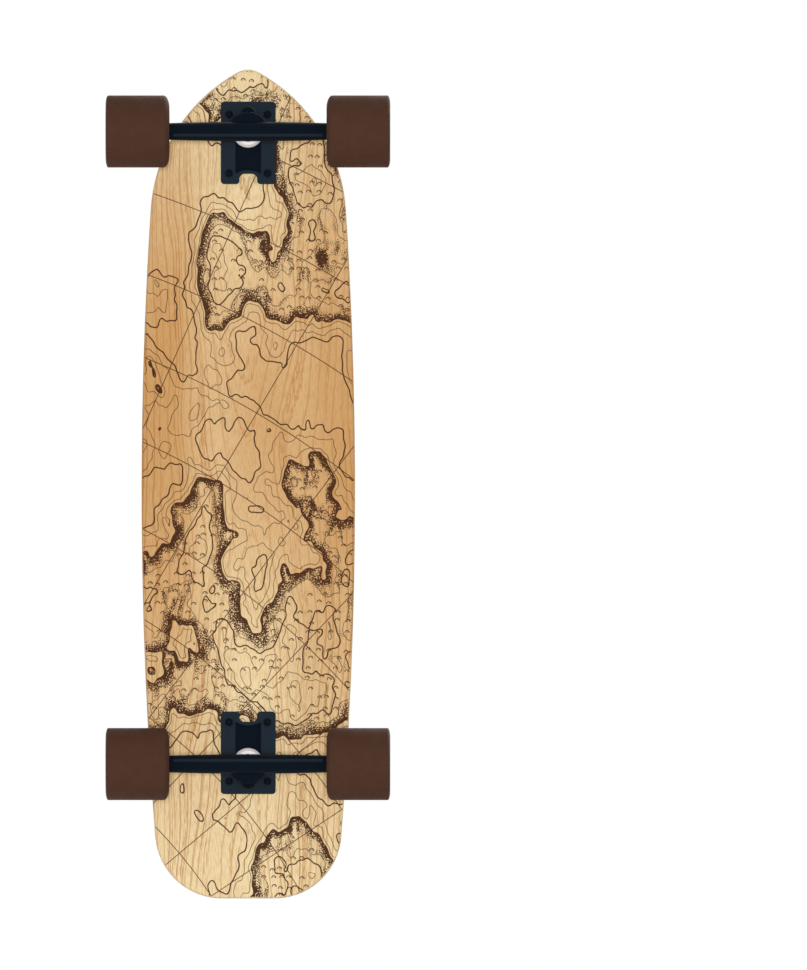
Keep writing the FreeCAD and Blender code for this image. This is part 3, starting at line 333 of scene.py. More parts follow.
# Small hills, an arch with a hatched side, are scattered over the high ground, 10 mm apart.
HILL_PITCH, HILL_SCATTER, HILL_SHARE = 10.2, 0.75, 0.58
HILL_RADIUS, HILL_LINE = 0.0023, 0.0009
ARCH_FOOT = HILL_LINE / 3
HATCH_PITCH, HATCH_SHARE = 0.0010, 0.22
SHORE_TO_HILLS = 0.009
cells = add(tree, "TexVoronoi", {"Vector": spot, "Scale": per_metre(HILL_PITCH)[0],
                                 "Randomness": HILL_SCATTER}, voronoi_dimensions="2D")
hill = add(tree, "VectorMath", {0: spot, 1: cells.outputs["Position"]}, operation="SUBTRACT")
hill_across, hill_along = add(tree, "SeparateXYZ", {0: hill}).outputs[:2]
hill = add(tree, "CombineXYZ", {0: hill_across, 1: hill_along})
hill = add(tree, "VectorMath", {0: hill}, operation="LENGTH")
arch = add(tree, "Math", {0: hill, 1: HILL_RADIUS, 2: HILL_LINE / 2}, operation="COMPARE")
inside = add(tree, "Math", {0: hill, 1: HILL_RADIUS}, operation="LESS_THAN")
shaded = add(tree, "Math", {0: hill_across, 1: 0.0}, operation="GREATER_THAN")
hatch = add(tree, "Math", {0: hill_across, 1: HATCH_PITCH / 2}, operation="PINGPONG")
hatch = add(tree, "Math", {0: hatch, 1: HATCH_SHARE * HATCH_PITCH}, operation="LESS_THAN")
hatch = add(tree, "Math", {0: hatch, 1: inside}, operation="MULTIPLY")
hatch = add(tree, "Math", {0: hatch, 1: shaded}, operation="MULTIPLY")
hills = add(tree, "Math", {0: arch, 1: hatch}, operation="MAXIMUM")
upper = add(tree, "Math", {0: hill_along, 1: ARCH_FOOT}, operation="LESS_THAN")
chosen = add(tree, "Math", {0: cells.outputs["Color"], 1: 1 - HILL_SHARE},
             operation="GREATER_THAN")
highland = add(tree, "Math", {0: shore, 1: SHORE_TO_HILLS}, operation="GREATER_THAN")
hills = add(tree, "Math", {0: hills, 1: upper}, operation="MULTIPLY")
hills = add(tree, "Math", {0: hills, 1: chosen}, operation="MULTIPLY")
hills = add(tree, "Math", {0: hills, 1: highland}, operation="MULTIPLY")

# The net: arcs and rays about a point off the tail.
NET_CENTRE = (0.46, -0.72, 0.0)
NET_ARC = 0.084
NET_RAY = math.radians(6.5)
NET_LINE, NET_INK = 0.00055, 0.9
net_spot = add(tree, "Mapping", {"Vector": spot, "Location": NET_CENTRE, "Scale": FLAT})
far = add(tree, "VectorMath", {0: net_spot}, operation="LENGTH")
net_across, net_along = add(tree, "SeparateXYZ", {0: net_spot}).outputs[:2]
bearing = add(tree, "Math", {0: net_across, 1: net_along}, operation="ARCTAN2")
bearing = add(tree, "Math", {0: bearing, 1: NET_RAY / 2}, operation="PINGPONG")
ray = add(tree, "Math", {0: bearing, 1: far}, operation="MULTIPLY")
ring = add(tree, "Math", {0: far, 1: NET_ARC / 2}, operation="PINGPONG")
net = add(tree, "Math", {0: ray, 1: ring}, operation="MINIMUM")
net = add(tree, "MapRange", {"Value": net, "From Min": LINE_CORE * NET_LINE,
                             "From Max": LINE_FADE * NET_LINE, "To Min": NET_INK, "To Max": 0.0},
          interpolation_type="SMOOTHSTEP")

# Brown ink lies on the road-side veneer only and lets a trace of the wood through. The lacquer is
# dullest over the fibres and sinks a little along the late wood.
BROWN_INK = linear("#442414")
INK_COVER, INK_END, INK_FADE = 0.98, 0.02, 0.1
LATE_SINK, SINK_DEPTH = 0.6, 0.0003
LEAST_DULL, MOST_DULL = 0.42, 0.6
ink = add(tree, "Math", {0: contours, 1: stipple}, operation="MAXIMUM")
ink = add(tree, "Math", {0: ink, 1: net}, operation="MAXIMUM")
ink = add(tree, "Math", {0: ink, 1: hills}, operation="MAXIMUM")
road_side = add(tree, "MapRange", {"Value": depth, "From Min": INK_END, "From Max": INK_FADE,
                                   "To Min": INK_COVER, "To Max": 0.0},
                interpolation_type="SMOOTHSTEP")
ink = add(tree, "Math", {0: ink, 1: road_side}, operation="MULTIPLY")
surface = add(tree, "Mix", {"Factor": ink, "A": wood, "B": BROWN_INK}, data_type="RGBA")
grain = add(tree, "Math", {0: late, 1: -LATE_SINK, 2: fibre}, operation="MULTIPLY_ADD")
grain = add(tree, "Bump", {"Height": grain, "Strength": 0.15, "Distance": SINK_DEPTH})
gloss = add(tree, "MapRange", {"Value": fibre, "To Min": LEAST_DULL, "To Max": MOST_DULL})
feed(tree, shader, {"Base Color": surface, "Roughness": gloss, "Normal": grain,
                    "Specular IOR Level": 0.12})
dress(maple, "deck")


# Deck bolts. Eight countersunk steel screws with a hex socket, blacked against rust, go down
# through the deck, the riser pads and the baseplates, four to a truck.

def flecked(name, pale, dark, grain, roughness, relief, **sockets):
    """A finish whose colour, gloss and height vary with one fine grain, sizes in millimetres."""
    grains_to_a_patch, fleck_share = 20, 0.5
    darkest, palest = 0.45, 1.05
    gloss_range = 0.06
    material, tree, shader = new_finish(name)
    spot = add(tree, "TexCoord", {}).outputs["Object"]
    fleck_scale, patch_scale = per_metre(grain, grains_to_a_patch * grain)
    fleck = add(tree, "TexNoise", {"Vector": spot, "Scale": fleck_scale, "Detail": 3})
    patch = add(tree, "TexNoise", {"Vector": spot, "Scale": patch_scale, "Detail": 2})
    amount = add(tree, "Math", {0: fleck, 1: fleck_share, 2: patch}, operation="MULTIPLY_ADD")
    amount = add(tree, "MapRange", {"Value": amount, "From Min": darkest, "From Max": palest})
    colour = add(tree, "Mix", {"Factor": amount, "A": linear(dark), "B": linear(pale)},
                 data_type="RGBA")
    gloss = add(tree, "MapRange", {"Value": patch, "From Min": NOISE_LOW, "From Max": NOISE_HIGH,
                                   "To Min": roughness - gloss_range,
                                   "To Max": roughness + gloss_range})
    bump = add(tree, "Bump", {"Height": fleck, "Strength": 0.3, "Distance": relief / 1000})
    feed(tree, shader, {"Base Color": colour, "Roughness": gloss, "Normal": bump, **sockets})
    return material


# Black oxide on steel: near black with a faint blue cast, low sheen, and a slight mottle that is
# drawn coarser than the real one so that it shows.
blacked_steel = flecked("black_oxide_steel", "#10171F", "#0A1017", grain=0.8, roughness=0.55,
                        relief=0.03, **{"Specular IOR Level": 0.06})
ENDS = ("front", "rear")
for end in ENDS:
    dress(blacked_steel, f"{end}_deck_bolts")


# Riser pads. A 5 mm pad of moulded rubber between deck and baseplate takes up shock and gives the
# wheels room.

# Moulded black rubber: dull, with the grain of the mould, drawn coarser so that it shows.
rubber = flecked("moulded_rubber", "#1B2027", "#12161C", grain=1.2, roughness=0.82, relief=0.06,
                 **{"Specular IOR Level": 0.12})
for end in ENDS:
    dress(rubber, f"{end}_riser")


# Baseplates. Each is an aluminium casting with a seat for the kingpin, a socket for the pivot cup,
# a sunk channel and a notch at its inner end. It is powder coated and bolted through the riser.

FLANGE_THICKNESS = 0.007
FACE_DEPTH, FULL_SHADE_DEPTH = 0.0003, 0.0009
PEEL_GRAIN, DUST_PATCH = 0.9, 17
PEEL_RELIEF = 0.00006

# Powder coat on cast aluminium: dark blue grey with a fine orange peel, sizes in millimetres.
# Painted shade makes the sides, the sunk channel and the notch darker than the road face.
plate_coat, tree, shader = new_finish("grey_powder_coat")
spot = add(tree, "TexCoord", {}).outputs["Object"]
height = add(tree, "SeparateXYZ", {0: spot}).outputs[2]
flange_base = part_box("front_baseplate")[1][2] - FLANGE_THICKNESS
# Painted shade: whatever lies deeper than the road face takes the darker colour.
recess_shade = add(tree, "MapRange", {"Value": height, "From Min": flange_base + FACE_DEPTH,
                              "From Max": flange_base + FULL_SHADE_DEPTH},
           interpolation_type="SMOOTHSTEP")
peel_scale, dust_scale = per_metre(PEEL_GRAIN, DUST_PATCH)
peel = add(tree, "TexNoise", {"Vector": spot, "Scale": peel_scale, "Detail": 2})
dust = add(tree, "TexNoise", {"Vector": spot, "Scale": dust_scale, "Detail": 3})
face = add(tree, "Mix", {"Factor": dust, "A": linear("#1E2830"), "B": linear("#232D36")},
           data_type="RGBA")
colour = add(tree, "Mix", {"Factor": recess_shade, "A": face, "B": linear("#09121D")}, data_type="RGBA")
gloss = add(tree, "MapRange", {"Value": dust, "To Min": 0.55, "To Max": 0.75})
bump = add(tree, "Bump", {"Height": peel, "Strength": 0.3, "Distance": PEEL_RELIEF})
feed(tree, shader, {"Base Color": colour, "Roughness": gloss, "Normal": bump,
                    "Specular IOR Level": 0.09})
for end in ENDS:
    dress(plate_coat, f"{end}_baseplate")


# Lock nuts under the baseplates. Each of the eight deck bolts ends in a hexagonal steel nut with a
# round collar that holds a nylon ring against shaking loose.

def lathe(shape, loops, segments=48):
    """Skin over a stack of loops (radius, height, six-sided or not), joined end to end."""
    same_spot = 1e-7
    loop = bmesh.ops.create_circle(shape, cap_ends=False, segments=segments, radius=1.0)["verts"]
    edges = list(dict.fromkeys(edge for corner in loop for edge in corner.link_edges))
    made = list(loop)
    for number, (radius, rise, six_sided) in enumerate(loops):
        if number:
            grown = bmesh.ops.extrude_edge_only(shape, edges=edges)["geom"]
            loop = [item for item in grown if isinstance(item, bmesh.types.BMVert)]
            edges = [item for item in grown if isinstance(item, bmesh.types.BMEdge)]
            made += loop
        for corner in loop:
            turn = math.atan2(corner.co.y, corner.co.x)
            past_flat = (turn + math.pi / 6) % (math.pi / 3) - math.pi / 6
            out = radius / math.cos(past_flat) if six_sided else radius
            corner.co = Vector((out * math.cos(turn), out * math.sin(turn), rise))
    bmesh.ops.remove_doubles(shape, verts=made, dist=same_spot)
    return [corner for corner in made if corner.is_valid]


def lock_nut(shape, width, hex_height, collar, collar_height, bore):
    """Nut with turned faces, standing on its washer face, with a rolled collar and its ring."""
    half = width / 2
    chamfer = 0.09 * width
    face = 0.47 * width
    top = hex_height + collar_height
    roll_start, rolled = top - 0.15 * collar, 0.86 * collar
    ring_edge = bore + 0.3 * (collar - bore)
    ring_top, ring_mouth = top - 0.0002, top - 0.0006
    return lathe(shape, [
        (bore, 0, False), (face, 0, False), (half, chamfer, True),
        (half, hex_height - chamfer, True), (face, hex_height, False), (collar, hex_height, False),
        (collar, roll_start, False), (rolled, top, False), (ring_edge, ring_top, False),
        (bore, ring_mouth, False), (bore, 0, False)])


def new_piece(name, shape, material):
    """Finish a mesh as a smooth piece with sharp creases."""
    crease = math.radians(32)
    bmesh.ops.recalc_face_normals(shape, faces=shape.faces)
    for face in shape.faces:
        face.smooth = True
    mesh = bpy.data.meshes.new(name)
    shape.to_mesh(mesh)
    shape.free()
    mesh.set_sharp_from_angle(angle=crease)
    mesh.materials.append(material)
    piece = bpy.data.objects.new(name, mesh)
    bpy.context.scene.collection.objects.link(piece)
    return piece


DECK_NUT = {"width": 0.008, "hex_height": 0.0042, "collar": 0.00345, "collar_height": 0.0015,
            "bore": 0.00243}
BOLT_ACROSS, BOLT_ALONG = 0.0413, 0.0635
BOLT_SIDES = (-0.5, 0.5)
UPSIDE_DOWN = (1, 1, -1)
for end in ENDS:
    low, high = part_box(f"{end}_deck_nuts")
    middle = (low + high) / 2
    shape = bmesh.new()
    for right in BOLT_SIDES:
        for back in BOLT_SIDES:
            corners = lock_nut(shape, **DECK_NUT)
            bmesh.ops.scale(shape, vec=UPSIDE_DOWN, verts=corners)
            bmesh.ops.translate(shape, verts=corners, vec=(
                right * BOLT_ACROSS, middle.y + back * BOLT_ALONG, high.z))
    nuts = new_piece(f"{end}_lock_nuts", shape, blacked_steel)
    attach(nuts, "deck")
    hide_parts(f"{end}_deck_nuts")


# Pivot cups. A small cup of black urethane, cast and then pressed into the baseplate's socket,
# carries the ball of the hanger and lets it turn.

# Cast black urethane: dark, even and slightly soft in its sheen.
cup_urethane = flecked("cast_black_urethane", "#161A20", "#0F1318", grain=2, roughness=0.6,
                       relief=0.03, **{"Specular IOR Level": 0.2})
for end in ENDS:
    dress(cup_urethane, f"{end}_pivot_cup")


# Kingpins. A steel bolt hangs from a hexagonal recess in each baseplate and holds two washers, two
# bushings and the hanger's ring between them with a nut at its lower end.

KINGPIN_NUT = {"width": 0.0143, "hex_height": 0.0054, "collar": 0.0062, "collar_height": 0.0016,
               "bore": 0.00478}
for end in ENDS:
    dress(blacked_steel, f"{end}_kingpin", f"{end}_bushing_washers")
    low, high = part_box(f"{end}_kingpin_nut")
    shape = bmesh.new()
    corners = lock_nut(shape, **KINGPIN_NUT)
    bmesh.ops.scale(shape, vec=UPSIDE_DOWN, verts=corners)
    bmesh.ops.translate(shape, verts=corners, vec=(0, (low.y + high.y) / 2, high.z))
    nut = new_piece(f"{end}_kingpin_lock_nut", shape, blacked_steel)
    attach(nut, "deck")
    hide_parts(f"{end}_kingpin_nut")


# Hangers. Each is an aluminium casting: a bar for the axle, a ribbed road side, and a yoke that
# rises to a ring on the kingpin and a ball in the pivot cup. It is powder coated black.

RIB_OFFSET, RIB_HALF_WIDTH, RIB_HALF_LENGTH = 0.0041, 0.0015, 0.080
RIB_TOP = -0.006
axle = {end: sum(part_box(f"{end}_axle"), Vector()) / 2 for end in ENDS}
INWARDS = {"front": 1.0, "rear": -1.0}

# Black powder coat on cast aluminium: blue black with a fine orange peel, and a painted highlight
# as a paler strip along the rib.
for end in ENDS:
    hanger_coat, tree, shader = new_finish(f"black_powder_coat_{end}")
    spot = add(tree, "TexCoord", {}).outputs["Object"]
    across, along, height = add(tree, "SeparateXYZ", {0: spot}).outputs
    # Painted highlight: a paler strip on the road side of the bar, beside the axle and below it.
    past_axle = add(tree, "Math", {0: along, 1: INWARDS[end], 2: -INWARDS[end] * axle[end].y},
                    operation="MULTIPLY_ADD")
    beside = add(tree, "Math", {0: past_axle, 1: RIB_OFFSET, 2: RIB_HALF_WIDTH},
                 operation="COMPARE")
    within = add(tree, "Math", {0: across, 1: 0.0, 2: RIB_HALF_LENGTH}, operation="COMPARE")
    below = add(tree, "Math", {0: height, 1: axle[end].z + RIB_TOP}, operation="LESS_THAN")
    rib_highlight = add(tree, "Math", {0: beside, 1: within}, operation="MULTIPLY")
    rib_highlight = add(tree, "Math", {0: rib_highlight, 1: below}, operation="MULTIPLY")
    peel = add(tree, "TexNoise", {"Vector": spot, "Scale": peel_scale, "Detail": 2})
    dust = add(tree, "TexNoise", {"Vector": spot, "Scale": dust_scale, "Detail": 3})
    coat = add(tree, "Mix", {"Factor": dust, "A": linear("#08101A"), "B": linear("#0C151E")},
               data_type="RGBA")
    colour = add(tree, "Mix", {"Factor": rib_highlight, "A": coat, "B": linear("#1F2831")},
                 data_type="RGBA")
    gloss = add(tree, "MapRange", {"Value": dust, "To Min": 0.4, "To Max": 0.6})
    bump = add(tree, "Bump", {"Height": peel, "Strength": 0.3, "Distance": PEEL_RELIEF})
    feed(tree, shader, {"Base Color": colour, "Roughness": gloss, "Normal": bump,
                        "Specular IOR Level": 0.04})
    dress(hanger_coat, f"{end}_hanger")


# Bushings. Two rings of white cast urethane on each kingpin, one on either side of the hanger's
# ring, give way as the board leans. Each is cast with rounded rims and a slightly full waist.

# Cast white urethane: milky white, smooth, with a soft sheen and hardly any mottling.
white_urethane = flecked("cast_white_urethane", "#FEFEFF", "#F6F6F8", grain=6, roughness=0.42,
                         relief=0.02, **{"Specular IOR Level": 0.4})
BUSHING_BORE = 0.0050
BUSHING_ROUNDING, ROUNDING_STEPS = 0.0009, 3
BUSHING_STEPS = 72
RIM_ANGLE = math.radians(35)
BUSHINGS = {
    "roadside": [(0.0126, 0.0), (0.0139, 0.25), (0.0150, 0.5), (0.0158, 0.75), (0.0161, 1.0)],
    "boardside": [(0.0124, 0.0), (0.0124, 0.25), (0.0121, 0.5), (0.0116, 0.75), (0.0108, 1.0)],
}
for end in ENDS:
    for side, profile in BUSHINGS.items():
        low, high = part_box(f"{end}_{side}_bushing")
        foot = Vector((0, (low.y + high.y) / 2, low.z))
        tall = high.z - low.z
        shape = bmesh.new()
        wall = [(radius, share * tall) for radius, share in profile]
        bore = [(BUSHING_BORE, rise) for radius, rise in reversed(wall)]
        corners = [shape.verts.new((radius, 0, rise)) for radius, rise in wall + bore]
        edges = [shape.edges.new((corner, corners[place - 1]))
                 for place, corner in enumerate(corners)]
        bmesh.ops.spin(shape, geom=corners + edges, axis=(0, 0, 1), cent=(0, 0, 0), dvec=(0, 0, 0),
                       angle=2 * math.pi, steps=BUSHING_STEPS, use_merge=True)
        bmesh.ops.recalc_face_normals(shape, faces=shape.faces)
        rims = [edge for edge in shape.edges if edge.calc_face_angle(0) > RIM_ANGLE]
        bmesh.ops.bevel(shape, geom=rims, offset=BUSHING_ROUNDING, offset_type="OFFSET",
                        segments=ROUNDING_STEPS, profile=0.5, affect="EDGES", material=-1)
        bmesh.ops.translate(shape, verts=shape.verts, vec=foot)
        bushing = new_piece(f"{end}_{side}_cast_bushing", shape, white_urethane)
        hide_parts(f"{end}_{side}_bushing")
        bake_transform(bushing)


# Axles. A steel rod of 8 mm runs through each hanger and is threaded at both ends. Thin steel rings
# sit against the bearings, and an aluminium sleeve keeps the two bearings of a wheel apart.

def turned_finish(name, end, pale, dark, groove, roughness, relief, **sockets):
    """A finish with fine rings about the axle of one truck, sizes in millimetres."""
    patch_size, groove_share = 11, 0.6
    darkest, palest = 0.5, 1.1
    gloss_range = 0.06
    material, tree, shader = new_finish(name)
    spot = add(tree, "TexCoord", {}).outputs["Object"]
    middle = add(tree, "Mapping", {"Vector": spot, "Location": (0, -axle[end].y, -axle[end].z)})
    across, along, height = add(tree, "SeparateXYZ", {0: middle}).outputs
    radius = add(tree, "CombineXYZ", {0: along, 1: height})
    radius = add(tree, "VectorMath", {0: radius}, operation="LENGTH")
    groove_scale, patch_scale = per_metre(groove, patch_size)
    cut = add(tree, "CombineXYZ", {0: across, 1: radius})
    cut = add(tree, "TexNoise", {"Vector": cut, "Scale": groove_scale, "Detail": 2})
    patch = add(tree, "TexNoise", {"Vector": spot, "Scale": patch_scale, "Detail": 3})
    amount = add(tree, "Math", {0: cut, 1: groove_share, 2: patch}, operation="MULTIPLY_ADD")
    amount = add(tree, "MapRange", {"Value": amount, "From Min": darkest, "From Max": palest})
    colour = add(tree, "Mix", {"Factor": amount, "A": linear(dark), "B": linear(pale)},
                 data_type="RGBA")
    gloss = add(tree, "MapRange", {"Value": amount, "To Min": roughness + gloss_range,
                                   "To Max": roughness - gloss_range})
    bump = add(tree, "Bump", {"Height": cut, "Strength": 0.25, "Distance": relief / 1000})
    feed(tree, shader, {"Base Color": colour, "Roughness": gloss, "Normal": bump, **sockets})
    return material


AXLE_RADIUS = 0.004
AXLE_CHAMFER = 0.0006
AXLE_SEGMENTS = 32
THREAD_START, THREAD_LENGTH = 0.0005, 0.0095
THREAD_PITCH, THREAD_DEPTH = 0.00106, 0.0003
upright = Vector((0, 0, 1))
zinc = {}
for end in ENDS:
    # Bright zinc plate on steel: pale and slightly blue, with the turning marks still in it, wider
    # than real ones so that they show.
    zinc[end] = turned_finish(f"zinc_plated_steel_{end}", end, "#C9CBD0", "#A3A6AC", groove=0.4,
                              roughness=0.3, relief=0.01, Metallic=1.0)
    # Turned aluminium: whiter and duller than the steel, with its marks drawn as wide.
    sleeve = turned_finish(f"turned_aluminium_{end}", end, "#DADBDD", "#BDBEC1", groove=0.5,
                           roughness=0.38, relief=0.01, Metallic=1.0)
    dress(zinc[end], f"{end}_speed_rings")
    dress(sleeve, f"{end}_bearing_spacers")
    low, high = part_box(f"{end}_axle")
    half = (high.x - low.x) / 2
    shape = bmesh.new()
    loops = [(AXLE_RADIUS - AXLE_CHAMFER, -half, False)]
    for turn in range(int(THREAD_LENGTH / THREAD_PITCH)):
        root = THREAD_START - half + turn * THREAD_PITCH
        loops += [(AXLE_RADIUS - THREAD_DEPTH, root, False),
                  (AXLE_RADIUS, root + THREAD_PITCH / 2, False)]
    loops += [(radius, -rise, six_sided) for radius, rise, six_sided in reversed(loops)]
    lathe(shape, loops, AXLE_SEGMENTS)
    bmesh.ops.holes_fill(shape, edges=shape.edges)
    lying = upright.rotation_difference(Vector((1, 0, 0))).to_matrix()
    bmesh.ops.rotate(shape, verts=shape.verts, cent=(0, 0, 0), matrix=lying)
    bmesh.ops.translate(shape, verts=shape.verts, vec=axle[end])
    rod = new_piece(f"{end}_threaded_axle", shape, zinc[end])
    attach(rod, f"{end}_hanger")
    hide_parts(f"{end}_axle")


# Axle nuts. A hexagonal lock nut on each end of an axle holds the wheel on, with a little play so
# that the bearings run free.

AXLE_NUT = {"width": 0.0127, "hex_height": 0.0048, "collar": 0.0053, "collar_height": 0.0017,
            "bore": 0.00403}
WAYS = {"left": -1, "right": 1}
for end in ENDS:
    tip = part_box(f"{end}_axle_nuts")[1].x
    seat = tip - AXLE_NUT["hex_height"] - AXLE_NUT["collar_height"]
    shape = bmesh.new()
    for way in WAYS.values():
        corners = lock_nut(shape, **AXLE_NUT)
        outwards = upright.rotation_difference(Vector((way, 0, 0))).to_matrix()
        bmesh.ops.rotate(shape, verts=corners, cent=(0, 0, 0), matrix=outwards)
        bmesh.ops.translate(shape, verts=corners, vec=axle[end] + Vector((way * seat, 0, 0)))
    nuts = new_piece(f"{end}_axle_lock_nuts", shape, zinc[end])
    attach(nuts, f"{end}_hanger")
    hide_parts(f"{end}_axle_nuts")


# Tyres. Each is brown urethane cast round the core and turned to size on a lathe, with a broad
# rounded shoulder on the inner side, a narrow one on the outer side, and a deep recess with a
# broken edge in either face.

TYRE_FIT = 0.00002
INNER_SHOULDER = {"along": 0.0062, "inwards": 0.0135}
OUTER_SHOULDER = {"along": 0.0028, "inwards": 0.0100}
INNER_RECESS, OUTER_RECESS = 0.022, 0.023
BROKEN_EDGE = 0.0006
TYRE_SEGMENTS = 128
SHOULDER_STEPS = 8


def shoulder(tread, face, along, inwards):
    """Quarter of an ellipse from the tread to a face, as loops for a lathe."""
    turns = [math.pi / 2 * step / SHOULDER_STEPS for step in range(SHOULDER_STEPS + 1)]
    return [(tread - inwards * (1 - math.cos(turn)), face - along * (1 - math.sin(turn)), False)
            for turn in turns]


for end in ENDS:
    # Cast urethane, turned: an even warm brown, matt, with faint rings from the lathe, drawn wider
    # than real ones.
    brown_urethane = turned_finish(f"cast_brown_urethane_{end}", end, "#51372B", "#4D3327",
                                   groove=1.1, roughness=0.66, relief=0.04,
                                   **{"Specular IOR Level": 0.05})
    for hand, way in WAYS.items():
        low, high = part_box(f"{end}_{hand}_tyre")
        core_low, core_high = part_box(f"{end}_{hand}_core")
        inner, outer = sorted((abs(low.x), abs(high.x)))
        core_inner, core_outer = sorted((abs(core_low.x), abs(core_high.x)))
        tread = (high.z - low.z) / 2
        bore = (core_high.z - core_low.z) / 2 + TYRE_FIT
        inner_curve = [(radius, 2 * inner - rise, six_sided) for radius, rise, six_sided
                       in shoulder(tread, inner, **INNER_SHOULDER)]
        shape = bmesh.new()
        lathe(shape, [
            (bore, core_inner, False), (INNER_RECESS, inner + BROKEN_EDGE, False),
            (INNER_RECESS + BROKEN_EDGE, inner, False), *reversed(inner_curve),
            *shoulder(tread, outer, **OUTER_SHOULDER), (OUTER_RECESS + BROKEN_EDGE, outer, False),
            (OUTER_RECESS, outer - BROKEN_EDGE, False), (bore, core_outer, False),
            (bore, core_inner, False)], TYRE_SEGMENTS)
        outwards = upright.rotation_difference(Vector((way, 0, 0))).to_matrix()
        bmesh.ops.rotate(shape, verts=shape.verts, cent=(0, 0, 0), matrix=outwards)
        bmesh.ops.translate(shape, verts=shape.verts, vec=axle[end])
        tyre = new_piece(f"{end}_{hand}_cast_tyre", shape, brown_urethane)
        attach(tyre, f"{end}_{hand}_wheel")
        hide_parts(f"{end}_{hand}_tyre")


# Wheel cores. A stiff hub of moulded nylon, with the tyre cast round it, holds the two bearings of
# a wheel, pressed in from either side.

# Moulded black nylon: dark, with a dull sheen and an even grain that is drawn coarser so that it
# shows.
nylon = flecked("moulded_black_nylon", "#1A1E24", "#11151A", grain=0.9, roughness=0.55,
                relief=0.04, **{"Specular IOR Level": 0.25})
for end in ENDS:
    dress(nylon, f"{end}_left_core", f"{end}_right_core")


# Bearings. Two in each wheel: ground steel rings with seven balls in a nylon crown between them,
# closed on both sides by a thin pressed shield.

# Moulded amber nylon, tinted by oil: a dull brown with a like grain.
crown_nylon = flecked("moulded_brown_nylon", "#4A3A2A", "#3A2C20", grain=0.7, roughness=0.5,
                      relief=0.03, **{"Specular IOR Level": 0.3})
for end in ENDS:
    # Ground bearing steel: bright, smooth and slightly warm, its marks wider than real ones.
    ground_steel = turned_finish(f"ground_bearing_steel_{end}", end, "#D2D2D3", "#B4B5B8",
                                 groove=0.3, roughness=0.18, relief=0.005, Metallic=1.0)
    # Pressed shield of tinned sheet: greyer, with soft brushed rings, as wide.
    shield = turned_finish(f"pressed_shield_steel_{end}", end, "#B4B6BA", "#96989D", groove=0.3,
                           roughness=0.34, relief=0.01, Metallic=1.0)
    dress(ground_steel, f"{end}_bearing_inner_rings")
    for hand in WAYS:
        dress(ground_steel, f"{end}_{hand}_bearing_outer_rings", f"{end}_{hand}_bearing_balls")
        dress(shield, f"{end}_{hand}_bearing_shields")
        dress(crown_nylon, f"{end}_{hand}_bearing_cages")


# Studio. A pale floor under the wheels takes the shadow and fades out into a white surround. Two
# broad soft lamps shine from above and one straight up from below. Only the camera meets the floor,
# and only from above, so that the underside is seen and lit through it.
FLOOR_HALF = 6.0
FADE_START, FADE_END = 1.2, 5.0
floor_shape = bmesh.new()
bmesh.ops.create_grid(floor_shape, x_segments=1, y_segments=1, size=FLOOR_HALF)
floor_mesh = bpy.data.meshes.new("floor")
floor_shape.to_mesh(floor_mesh)
floor_shape.free()
floor = bpy.data.objects.new("floor", floor_mesh)
bpy.context.scene.collection.objects.link(floor)

# Matt white paint: pale and dull, so that the shadow lies softly on it.
floor_paint, tree, shader = new_finish("matt_white_paint")
feed(tree, shader, {"Base Color": linear("#FFFFFF"), "Roughness": 0.9, "Specular IOR Level": 0.1})
from_below = add(tree, "NewGeometry", {}).outputs["Backfacing"]
looking = add(tree, "LightPath", {}).outputs["Is Camera Ray"]
lighting = add(tree, "Math", {0: 1.0, 1: looking}, operation="SUBTRACT")
clear = add(tree, "Math", {0: from_below, 1: lighting}, operation="MAXIMUM")
spot = add(tree, "TexCoord", {}).outputs["Object"]
away = add(tree, "VectorMath", {0: spot}, operation="LENGTH")
faded = add(tree, "MapRange", {"Value": away, "From Min": FADE_START, "From Max": FADE_END},
            interpolation_type="SMOOTHSTEP")
clear = add(tree, "Math", {0: clear, 1: faded}, operation="MAXIMUM")
nothing = add(tree, "BsdfTransparent", {})
one_way = add(tree, "MixShader", {0: clear, 1: shader, 2: nothing})
feed(tree, tree.nodes["Material Output"], {"Surface": one_way})
floor_mesh.materials.append(floor_paint)

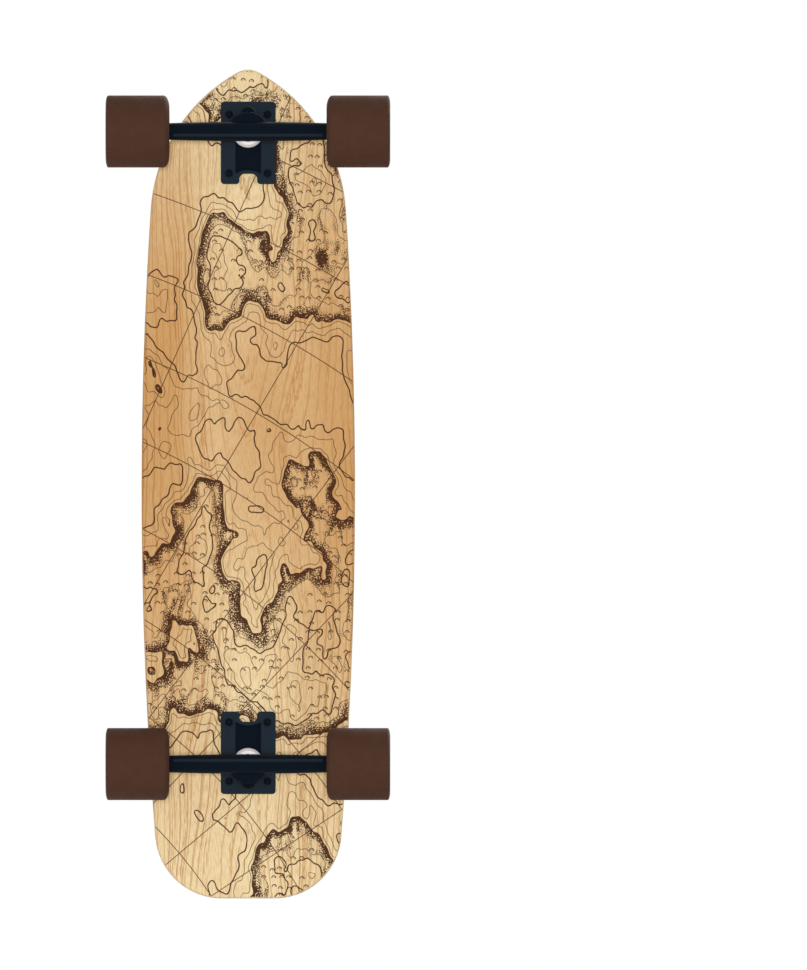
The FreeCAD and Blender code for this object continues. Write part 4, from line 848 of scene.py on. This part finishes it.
SURROUND_LIGHT = 0.32
world = bpy.data.worlds.new("white_surround")
bpy.context.scene.world = world
world.use_nodes = True
tree = world.node_tree
tree.nodes.clear()
path = add(tree, "LightPath", {})
mirrored = add(tree, "Math", {0: path.outputs["Is Glossy Ray"],
                              1: path.outputs["Is Transmission Ray"]}, operation="MAXIMUM")
shown = add(tree, "Math", {0: path.outputs["Is Camera Ray"], 1: mirrored}, operation="MAXIMUM")
strength = add(tree, "MapRange", {"Value": shown, "To Min": SURROUND_LIGHT, "To Max": 1.0})
surround = add(tree, "Background", {"Color": (1, 1, 1, 1), "Strength": strength})
add(tree, "OutputWorld", {"Surface": surround})


def lamp(name, strength, spread, direction, mirrored=True):
    """Soft lamp far away, shining in a direction, which glossy surfaces mirror or not."""
    light = bpy.data.lights.new(name, "SUN")
    light.energy = strength
    light.angle = math.radians(spread)
    item = bpy.data.objects.new(name, light)
    item.rotation_euler = Vector(direction).to_track_quat("-Z", "Y").to_euler()
    item.visible_glossy = mirrored
    bpy.context.scene.collection.objects.link(item)


lamp("key_above", strength=1.9, spread=50, direction=(-0.5, 0.6, -1.0))
lamp("fill_above", strength=0.6, spread=90, direction=(0.7, -0.5, -0.6))
lamp("key_below", strength=2.14, spread=8, direction=(0.0, 0.0, 1.0), mirrored=False)


# Camera. Straight up at the underside from so far off that nothing shrinks with distance, with the
# nose at the top of the picture and the board left of its middle.
CAMERA_DISTANCE = 36.0
FARTHEST_SEEN = 4 * CAMERA_DISTANCE
SENSOR_WIDTH = 36
FRAME_LENGTH = 1.0404
FRAME_CENTRE = (0.1665, 0.001)
camera = bpy.data.objects.new("camera", bpy.data.cameras.new("camera"))
camera.data.sensor_width = SENSOR_WIDTH
camera.data.lens = SENSOR_WIDTH * CAMERA_DISTANCE / FRAME_LENGTH
camera.data.clip_end = FARTHEST_SEEN
camera.location = (*FRAME_CENTRE, deck_base - CAMERA_DISTANCE)
camera.rotation_euler = (math.pi, 0, 0)
bpy.context.scene.collection.objects.link(camera)
bpy.context.scene.camera = camera
bpy.context.scene.view_settings.view_transform = "Standard"
